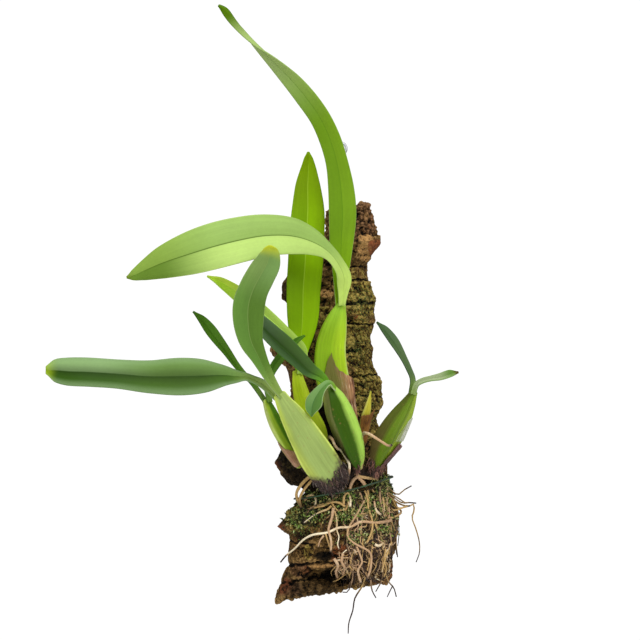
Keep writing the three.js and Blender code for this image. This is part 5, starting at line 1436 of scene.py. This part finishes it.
def fill_root_mat(bundle, ground, dice):
    """The crown, the roots that grow from it, the ones that stand out and the finer ones between them."""
    laid = {}
    for number, (name, parent, radii, path) in enumerate(MAT_ROOTS):
        start, path = joined(laid[parent], path) if parent else (None, path)
        fading = [[0, dice.uniform(0.5, 1)], [0.7, dice.uniform(0.4, 0.9)], [1, -0.3]]
        tone, thin, hue = LARGE_ROOTS.get(name, (fading, 0.7, dice.uniform(0, 1)))
        points, widths = lay(ground, path, radii, start, 2.6 if name == "crossing" else 0.6)
        laid[name] = points
        bundle.tube(points, knobbly([thin * width for width in widths], number, 0.22), tone, 8, hue)
    for number, (first, last, hue, thick, thin, above, path, *parent) in enumerate(SEEN_ROOTS):
        start, path = joined(laid[parent[0]], path) if parent else (None, path)
        points, widths = lay(ground, path, (thick, thin), start, above, 1.6, 0.1)
        bundle.tube(points, knobbly(widths, number + 20, 0.25), [[0, first], [1, last]], 7, hue)
    for mat in ROOT_MATS:
        for _ in range(mat["count"]):
            x, z = dice.uniform(*mat["x"]), dice.uniform(*mat["z"])
            if not ground.under(x, z):
                continue
            path = wander(x, z, mat, dice)
            if len(path) < 3:
                continue
            thick = dice.uniform(*mat["radius"])
            above = dice.uniform(-0.2, mat["pile"])
            tone = dice.uniform(*mat["tone"])
            points, widths = lay(ground, path, (thick, thick * 0.6), None, above, 1.8, 0.1)
            rows = [[0, tone], [0.5, tone + dice.uniform(-0.2, 0.3)], [1, tone - 0.3]]
            bundle.tube(points, knobbly(widths, thick * 40, 0.25), rows, 5, dice.uniform(0, 1))


def fill_moss(bundle, ground, dice, patches, count, length, width, tones, rise):
    """Small spikes of moss over the patches, thickest in their middles."""
    for _ in range(count):
        px, pz, half_width, half_height, strength = dice.choice(patches)
        x, z = dice.gauss(px, half_width * 0.5), dice.gauss(pz, half_height * 0.5)
        hit = ground.under(x, z)
        if not hit or hit[0] < 4 or dice.random() > strength:
            continue
        out, normal = hit
        tall = dice.uniform(*length) * MM
        lean = Vector((dice.gauss(0, 0.6), dice.gauss(-0.2, 0.4), dice.gauss(-0.15, 0.6)))
        foot = at(x, out + dice.uniform(0, rise), z) - normal * 0.2 * MM
        tip = foot + (normal + lean * 0.8).normalized() * tall
        bundle.spike(foot, tip, dice.uniform(*width) * MM, dice.uniform(*tones), dice.uniform(0, 1))


# The panel's values


def size(name, description, default, least, most):
    return bpy.props.FloatProperty(name=name, description=description, default=default * MM, min=least * MM,
                                   max=most * MM, precision=5, unit="LENGTH", subtype="DISTANCE")


def tint(name, description, default):
    return bpy.props.FloatVectorProperty(name=name, description=description, default=paint(default), size=4,
                                         min=0, max=1, subtype="COLOR")


def whole(name, description, default, least, most):
    return bpy.props.IntProperty(name=name, description=description, default=default, min=least, max=most)


class OrchidSizes(bpy.types.PropertyGroup):
    """The sizes that a user would change."""

    blade_thickness: size("Blade thickness", "Thickness of a leaf at its midrib", 1.5, 0.6, 3)
    petiole_thickness: size("Petiole thickness", "Thickness of a leaf's stalk", 2.1, 0.6, 4)
    leaf_wave: size("Leaf wave", "How far the leaves' margins wave", 0.5, 0, 3)
    leaf_rows: whole("Leaf rows", "Rows of faces along a leaf", 64, 16, 120)
    leaf_columns: whole("Leaf columns", "Columns of faces across a leaf", 12, 4, 24)
    sheath_thickness: size("Sheath thickness", "Thickness of the papery sheaths", 0.45, 0.2, 1.5)
    bark_grain: size("Bark grain", "Size of the bark's faces", 1.05, 0.7, 4)
    moss_count: whole("Moss spikes", "How many moss spikes are tried", 9000, 0, 20000)
    seed: whole("Seed", "Starting number of the random draws", 7, 0, 9999)


class OrchidColours(bpy.types.PropertyGroup):
    """The colours of the bark, the roots, the moss and the wires."""

    # The cracks' colour is painted shade, and the crests' colour partly worn bark and partly a painted
    # highlight.
    bark_deep: tint("Bark cracks", "Colour deep in the bark's cracks", "#120a05")
    bark_body: tint("Bark", "Main colour of the bark", "#634a24")
    bark_high: tint("Bark crests", "Colour of the bark's worn crests", "#a88450")
    bark_rust: tint("Rusty bark", "Colour of the bark's reddish places", "#965232")
    bark_pale: tint("Bare bark", "Colour of the bark's bare pale places", "#cc9c60")
    bark_plum: tint("Plum bark", "Colour that tints the bark's purplish places", "#e8dcf8")
    # The moss's shade colour and its tips' colour paint shade in its hollows and highlight on its crests.
    moss: tint("Moss", "Colour of the moss in shade", "#6c5c20")
    moss_high: tint("Moss tips", "Colour of the moss's tips", "#ccb45c")
    root_dark: tint("Root shade", "Colour of the darker roots", "#38230f")
    root_light: tint("Root", "Colour of the paler roots", "#c8a466")
    root_warm: tint("Warm root", "Colour of the pinkish roots", "#c8a27a")
    root_bright: tint("Bright root", "Colour of the palest roots", "#fcecc8")
    root_end: tint("Root end", "Colour of the roots' ends", "#2a1a16")
    wire: tint("Hanger", "Colour of the hanger's zinc", "#e2e5e8")
    tie: tint("Tie", "Colour of the tie's coating", "#245428")


def root_colours(colours):
    return {label: getattr(colours, "root_" + label.lower()) for label in FIBRE_COLOURS}


def titled(name):
    return name.replace("_", " ").capitalize()


# The operators, one for each group of pieces


class BarkOperator(bpy.types.Operator):
    """Grow the crust of the bark slab from its solid"""

    bl_idname = "orchid.bark"
    bl_label = "Bark slab"

    def execute(self, context):
        colours = context.scene.orchid_colours
        piece = shape_bark(context.scene.orchid_sizes)
        values = {label: getattr(colours, name) for label, name in BARK_COLOURS.items()}
        material = finish("Bark", bark_skin(), values, 0.9, 0.0018, Specular_IOR_Level=0.15)
        settle(piece, material, "bark", "bark_slab")
        return {"FINISHED"}


class RhizomeOperator(bpy.types.Operator):
    """Finish the creeping stem with a fibrous skin"""

    bl_idname = "orchid.rhizome"
    bl_label = "Rhizome"

    def execute(self, context):
        piece = copy_of("rhizome", "rhizome_skin")
        improve(piece, "REMESH", mode="VOXEL", voxel_size=RHIZOME_GRAIN * MM)
        improve(piece, "SMOOTH", factor=0.5, iterations=6)
        mesh = piece.data
        for point in mesh.vertices:
            lift = noise.fractal(point.co / (4 * MM), 1, 2, 3)
            point.co = point.co + point.normal * lift * 0.5 * MM
        for name, value in (("tone", 0.35), ("hue", 0.5), ("share", 0.0)):
            note(piece, name, [value] * len(mesh.vertices))
        values = painted(FIBRE_COLOURS, ("#1c120a", "#5c4024", "#4a2c1c", "#1c120a", "#7a5a3a"))
        settle(piece, finish("Rhizome", fibre_skin(), values, 0.6), "rhizome", "rhizome")
        return {"FINISHED"}


class HangerOperator(bpy.types.Operator):
    """Draw the hanger's wire, from its eye through the slab and back"""

    bl_idname = "orchid.hanger"
    bl_label = "Hanger wire"

    def execute(self, context):
        middle = WIRE_RADIUS - EYE_RADIUS
        points = []
        for angle in range(EYE_START, EYE_END + 1, EYE_STEP):
            turn = math.radians(angle)
            points.append(at(EYE_RADIUS * math.cos(turn), WIRE_BACK, middle + EYE_RADIUS * math.sin(turn)))

        def leg(phase, step):
            turn = phase + step / NECK_STEPS * NECK_TURN
            z = lerp(NECK_TOP, NECK_BOTTOM, step / NECK_STEPS)
            return at(TWIST_RADIUS * math.cos(turn), WIRE_BACK + TWIST_RADIUS * math.sin(turn), z)

        points += [leg(math.pi, step) for step in range(NECK_STEPS + 1)]
        for rows in (HANGER_BACK, HANGER_HOLE, HANGER_FRONT):
            points += [place(point) for point in reversed(rows)]
        points += [leg(0, step) for step in reversed(range(NECK_STEPS + 1))]
        piece = ring_wire("hanger_loop", Route(points, True), WIRE_RADIUS, HANGER_STEPS)
        values = {"Body": context.scene.orchid_colours.wire, "Dull": paint("#b4b8bb")}
        material = finish("Hanger zinc", wire_skin(), values, 0.1, 0.0002, Metallic=0.6)
        settle(piece, material, "hanger", "hanger_wire")
        return {"FINISHED"}


class TieOperator(bpy.types.Operator):
    """Draw the tie's wire round the slab"""

    bl_idname = "orchid.tie"
    bl_label = "Tie wire"

    def execute(self, context):
        route = Route([place(point) for point in TIE_PATH], True)
        piece = ring_wire("tie_loop", route, TIE_RADIUS, TIE_STEPS)
        values = {"Body": context.scene.orchid_colours.tie, "Dull": paint("#2c1a22")}
        settle(piece, finish("Tie coating", wire_skin(), values, 0.1, 0.0002), "tie", "tie_wire")
        return {"FINISHED"}


class BulbOperator(bpy.types.Operator):
    """Shape the six pseudobulbs"""

    bl_idname = "orchid.bulbs"
    bl_label = "Pseudobulbs"

    def execute(self, context):
        for number, bulb in enumerate(BULBS, 1):
            name = f"pseudobulb_{number}"
            slot, *looks = BULB_LOOKS[number]
            piece = shape_bulb(name, bulb, number)
            settle(piece, bulb_finish(f"Bulb {number}", looks), slot, name)
        return {"FINISHED"}


class LeafOperator(bpy.types.Operator):
    """Shape the twelve leaves"""

    bl_idname = "orchid.leaves"
    bl_label = "Leaves"

    def execute(self, context):
        for name, leaf in LEAVES.items():
            slot, *looks = LEAF_LOOKS[name]
            bulb = BULBS[int(name[len("leaf_")]) - 1]
            piece = shape_leaf(name, leaf, bulb, context.scene.orchid_sizes)
            settle(piece, leaf_finish(titled(name), looks), slot, name)
        return {"FINISHED"}


class SheathOperator(bpy.types.Operator):
    """Shape the papery sheaths on the pseudobulbs"""

    bl_idname = "orchid.sheaths"
    bl_label = "Sheaths"

    def execute(self, context):
        thickness = context.scene.orchid_sizes.sheath_thickness
        for seed, (name, row) in enumerate(SHEATHS.items()):
            values = painted(PAPER_COLOURS, row["colours"])
            values["Side Start"] = row["side"]
            bulb = BULBS[row["bulb"] - 1]
            piece = shape_sheath(name, bulb, row["torn"], row["foot"], seed, thickness, *row["form"])
            settle(piece, finish(titled(name), paper_skin(), values, 0.6), row["slot"], name)
        return {"FINISHED"}


class ShootOperator(bpy.types.Operator):
    """Shape the young shoot and its bract"""

    bl_idname = "orchid.shoot"
    bl_label = "New shoot"

    def execute(self, context):
        piece = shape_bulb("new_shoot", SHOOT, 9)
        # Its left, middle and right colours hold painted shade and light, as on the pseudobulbs.
        looks = ("#b0a434", "#b8b038", "#c4bc3c", "#d8d464", "#e0e088", "#d8d86c", "#8a5a1c",
                 120, 60, 20, 1.1, 0.6, 0.5)
        settle(piece, bulb_finish("Shoot", looks), "shoot", "new_shoot")
        thickness = context.scene.orchid_sizes.sheath_thickness
        piece = shape_sheath("shoot_bract", SHOOT, BRACT["torn"], BRACT["foot"], 11, thickness,
                             0.3, 0.2, 1.8, 0.03)
        values = painted(PAPER_COLOURS, ("#6c4018", "#b0762c", "#b88440", "#6c3c14"))
        values["Side Start"] = 0.8
        bract = finish("Bract", paper_skin(), values, 0.5)
        settle(piece, bract, "bract", "shoot_bract")
        return {"FINISHED"}


class StemRootOperator(bpy.types.Operator):
    """Lay the roots that start at the creeping stem"""

    bl_idname = "orchid.stem_roots"
    bl_label = "Stem roots"

    def execute(self, context):
        stem = skin_tree("rhizome_skin")
        values = root_colours(context.scene.orchid_colours)
        for name, root in STEM_ROOTS.items():
            bundle = Bundle()
            for number, (radii, path) in enumerate(root["arms"]):
                points = [place(point) for point in path]
                hit, normal, _, _ = stem.find_nearest(points[0])
                steps = Route([hit - normal * 1.5 * MM, *points]).spaced(1.2 * MM)
                widths = [root["grown"] * lerp(*radii, i / (len(steps) - 1)) for i in range(len(steps))]
                widths = knobbly(widths, number + len(name), 0.3)
                bundle.tube(steps, widths, root["tone"], 9, root["hue"] - 0.3 * number)
            material = finish(titled(name), fibre_skin(), values, 0.5, 0.0004)
            settle(bundle.made(name + "_skin"), material, root["slot"], name)
        return {"FINISHED"}


class FootOperator(bpy.types.Operator):
    """Grow the fibres left at the pseudobulbs' feet"""

    bl_idname = "orchid.feet"
    bl_label = "Foot fibres"

    def execute(self, context):
        dice = random.Random(context.scene.orchid_sizes.seed + 2)
        bundle = Bundle()
        for number, (count, shares, angles, lengths, off, tones, hue) in FOOT_FIBRES.items():
            shape = BulbSkin(BULBS[number - 1])
            for _ in range(count):
                angle = dice.uniform(*angles)
                share = min(1, dice.uniform(*shares) - 0.1 * abs(math.cos(math.radians(angle))))
                foot = shape.point(share, angle, dice.uniform(*off))
                t = shape.route.t_at(share)
                down = shape.route.tangent(t)
                away = (foot - shape.route.point(t)).normalized()
                loose = Vector((dice.gauss(0, 0.25), dice.gauss(0, 0.25), dice.gauss(-0.15, 0.25)))
                way = (down + away * dice.uniform(-0.25, 0.3) + loose).normalized()
                reach = dice.uniform(*lengths) * MM
                bend = Vector((dice.gauss(0, 0.5), dice.gauss(0, 0.3), dice.gauss(0, 0.5))) * MM
                thick = dice.uniform(0.18, 0.5) * MM
                steps = [foot, foot + way * reach * 0.5 + bend, foot + way * reach]
                bundle.tube(steps, [thick, thick, thick * 0.3], dice.uniform(*tones), 4, hue)
        values = painted(FIBRE_COLOURS, ("#2e2420", "#6c6058", "#84584a", "#3c302c", "#b08c74"))
        material = finish("Foot fibres", fibre_skin(), values, 0.4, 0.0004)
        settle(bundle.made("foot_fibres"), material, "sheath_brown")
        return {"FINISHED"}


class RootMatOperator(bpy.types.Operator):
    """Lay the mat of roots over the lower block"""

    bl_idname = "orchid.root_mat"
    bl_label = "Root mat"

    def execute(self, context):
        scene = context.scene
        bundle = Bundle()
        fill_root_mat(bundle, Ground(), random.Random(scene.orchid_sizes.seed))
        material = finish("Roots", fibre_skin(), root_colours(scene.orchid_colours), 0.5, 0.0004)
        settle(bundle.made("root_mat"), material, "root", "root_net")
        return {"FINISHED"}


class MossOperator(bpy.types.Operator):
    """Scatter moss over the bark and between the roots"""

    bl_idname = "orchid.moss"
    bl_label = "Moss"

    def execute(self, context):
        sizes = context.scene.orchid_sizes
        dice = random.Random(sizes.seed + 1)
        ground = Ground()
        bundle = Bundle()
        for patches, share, *looks in MOSS_KINDS:
            fill_moss(bundle, ground, dice, patches, sizes.moss_count // share, *looks)
        values = painted(FIBRE_COLOURS, ("#28320e", "#84a444", "#b0a85c", "#1c1e08", "#ccc894"))
        settle(bundle.made("moss"), finish("Moss", fibre_skin(), values, 0.2, 0.0003), "bark")
        return {"FINISHED"}


def lay_floor():
    bpy.ops.object.select_all(action="DESELECT")
    bpy.ops.mesh.primitive_circle_add(
        vertices=96, radius=FLOOR_RADIUS, fill_type="NGON", location=(0, 0, FLOOR_HEIGHT))
    floor = bpy.context.object
    floor.name = "floor"
    material = bpy.data.materials.new("Floor")
    material.use_nodes = True
    tree = material.node_tree
    shade = mixed(grain(object_place(tree), 6.0), paint("#e9e8e6"), paint("#f2f1ef"))
    tree.links.new(shade, tree.nodes["Principled BSDF"].inputs["Base Color"])
    tree.nodes["Principled BSDF"].inputs["Roughness"].default_value = 0.9
    floor.data.materials.append(material)


def light_world(scene):
    """A white ground for the camera that lights the object only a little."""
    scene.world = bpy.data.worlds.new("Studio")
    scene.world.use_nodes = True
    tree = scene.world.node_tree
    tree.nodes.clear()
    seen = put(tree, "ShaderNodeBackground", {"Color": (1, 1, 1, 1), "Strength": SEEN_LIGHT})
    cast = put(tree, "ShaderNodeBackground", {"Color": (1, 1, 1, 1), "Strength": CAST_LIGHT})
    which = put(tree, "ShaderNodeLightPath").outputs["Is Camera Ray"]
    both = put(tree, "ShaderNodeMixShader", {0: which, 1: cast.outputs[0], 2: seen.outputs[0]})
    put(tree, "ShaderNodeOutputWorld", {"Surface": both.outputs[0]})


def set_camera(scene):
    bpy.ops.object.camera_add(location=CAMERA_PLACE, rotation=(math.pi / 2, 0, 0))
    camera = bpy.context.object
    camera.data.lens = CAMERA_LENS
    camera.data.sensor_width = CAMERA_SENSOR
    camera.data.clip_end = 50
    scene.camera = camera
    scene.view_settings.view_transform = "Standard"


class StageOperator(bpy.types.Operator):
    """Set the floor, the lights and the camera"""

    bl_idname = "orchid.stage"
    bl_label = "Stage"

    def execute(self, context):
        lay_floor()
        light_world(context.scene)
        for name, spot, width, power in LIGHTS:
            bpy.ops.object.light_add(type="AREA", location=spot)
            light = bpy.context.object
            light.name = name
            light.data.size = width
            light.data.energy = power
            light.rotation_euler = (AIM - Vector(spot)).to_track_quat("-Z", "Y").to_euler()
        set_camera(context.scene)
        return {"FINISHED"}


STEPS = ("bark", "rhizome", "hanger", "tie", "bulbs", "leaves", "sheaths", "shoot", "feet", "stem_roots",
         "root_mat", "moss", "stage")


class OrchidPanel(bpy.types.Panel):
    """The orchid's sizes, colours and pieces"""

    bl_idname = "VIEW3D_PT_orchid"
    bl_label = "Orchid"
    bl_space_type = "VIEW_3D"
    bl_region_type = "UI"
    bl_category = "Orchid"

    def draw(self, context):
        for values in (context.scene.orchid_sizes, context.scene.orchid_colours):
            for name in values.bl_rna.properties.keys():
                if name not in ("rna_type", "name"):
                    self.layout.prop(values, name)
        for step in STEPS:
            self.layout.operator("orchid." + step)


CLASSES = (
    OrchidSizes, OrchidColours, BarkOperator, RhizomeOperator, HangerOperator, TieOperator, BulbOperator,
    LeafOperator, SheathOperator, ShootOperator, FootOperator, StemRootOperator, RootMatOperator,
    MossOperator, StageOperator, OrchidPanel,
)


def register():
    for kind in CLASSES:
        bpy.utils.register_class(kind)
    bpy.types.Scene.orchid_sizes = bpy.props.PointerProperty(type=OrchidSizes)
    bpy.types.Scene.orchid_colours = bpy.props.PointerProperty(type=OrchidColours)


def unregister():
    del bpy.types.Scene.orchid_sizes
    del bpy.types.Scene.orchid_colours
    for kind in reversed(CLASSES):
        bpy.utils.unregister_class(kind)


def main():
    register()
    for step in STEPS:
        getattr(bpy.ops.orchid, step)()


if __name__ == "__main__":
    main()
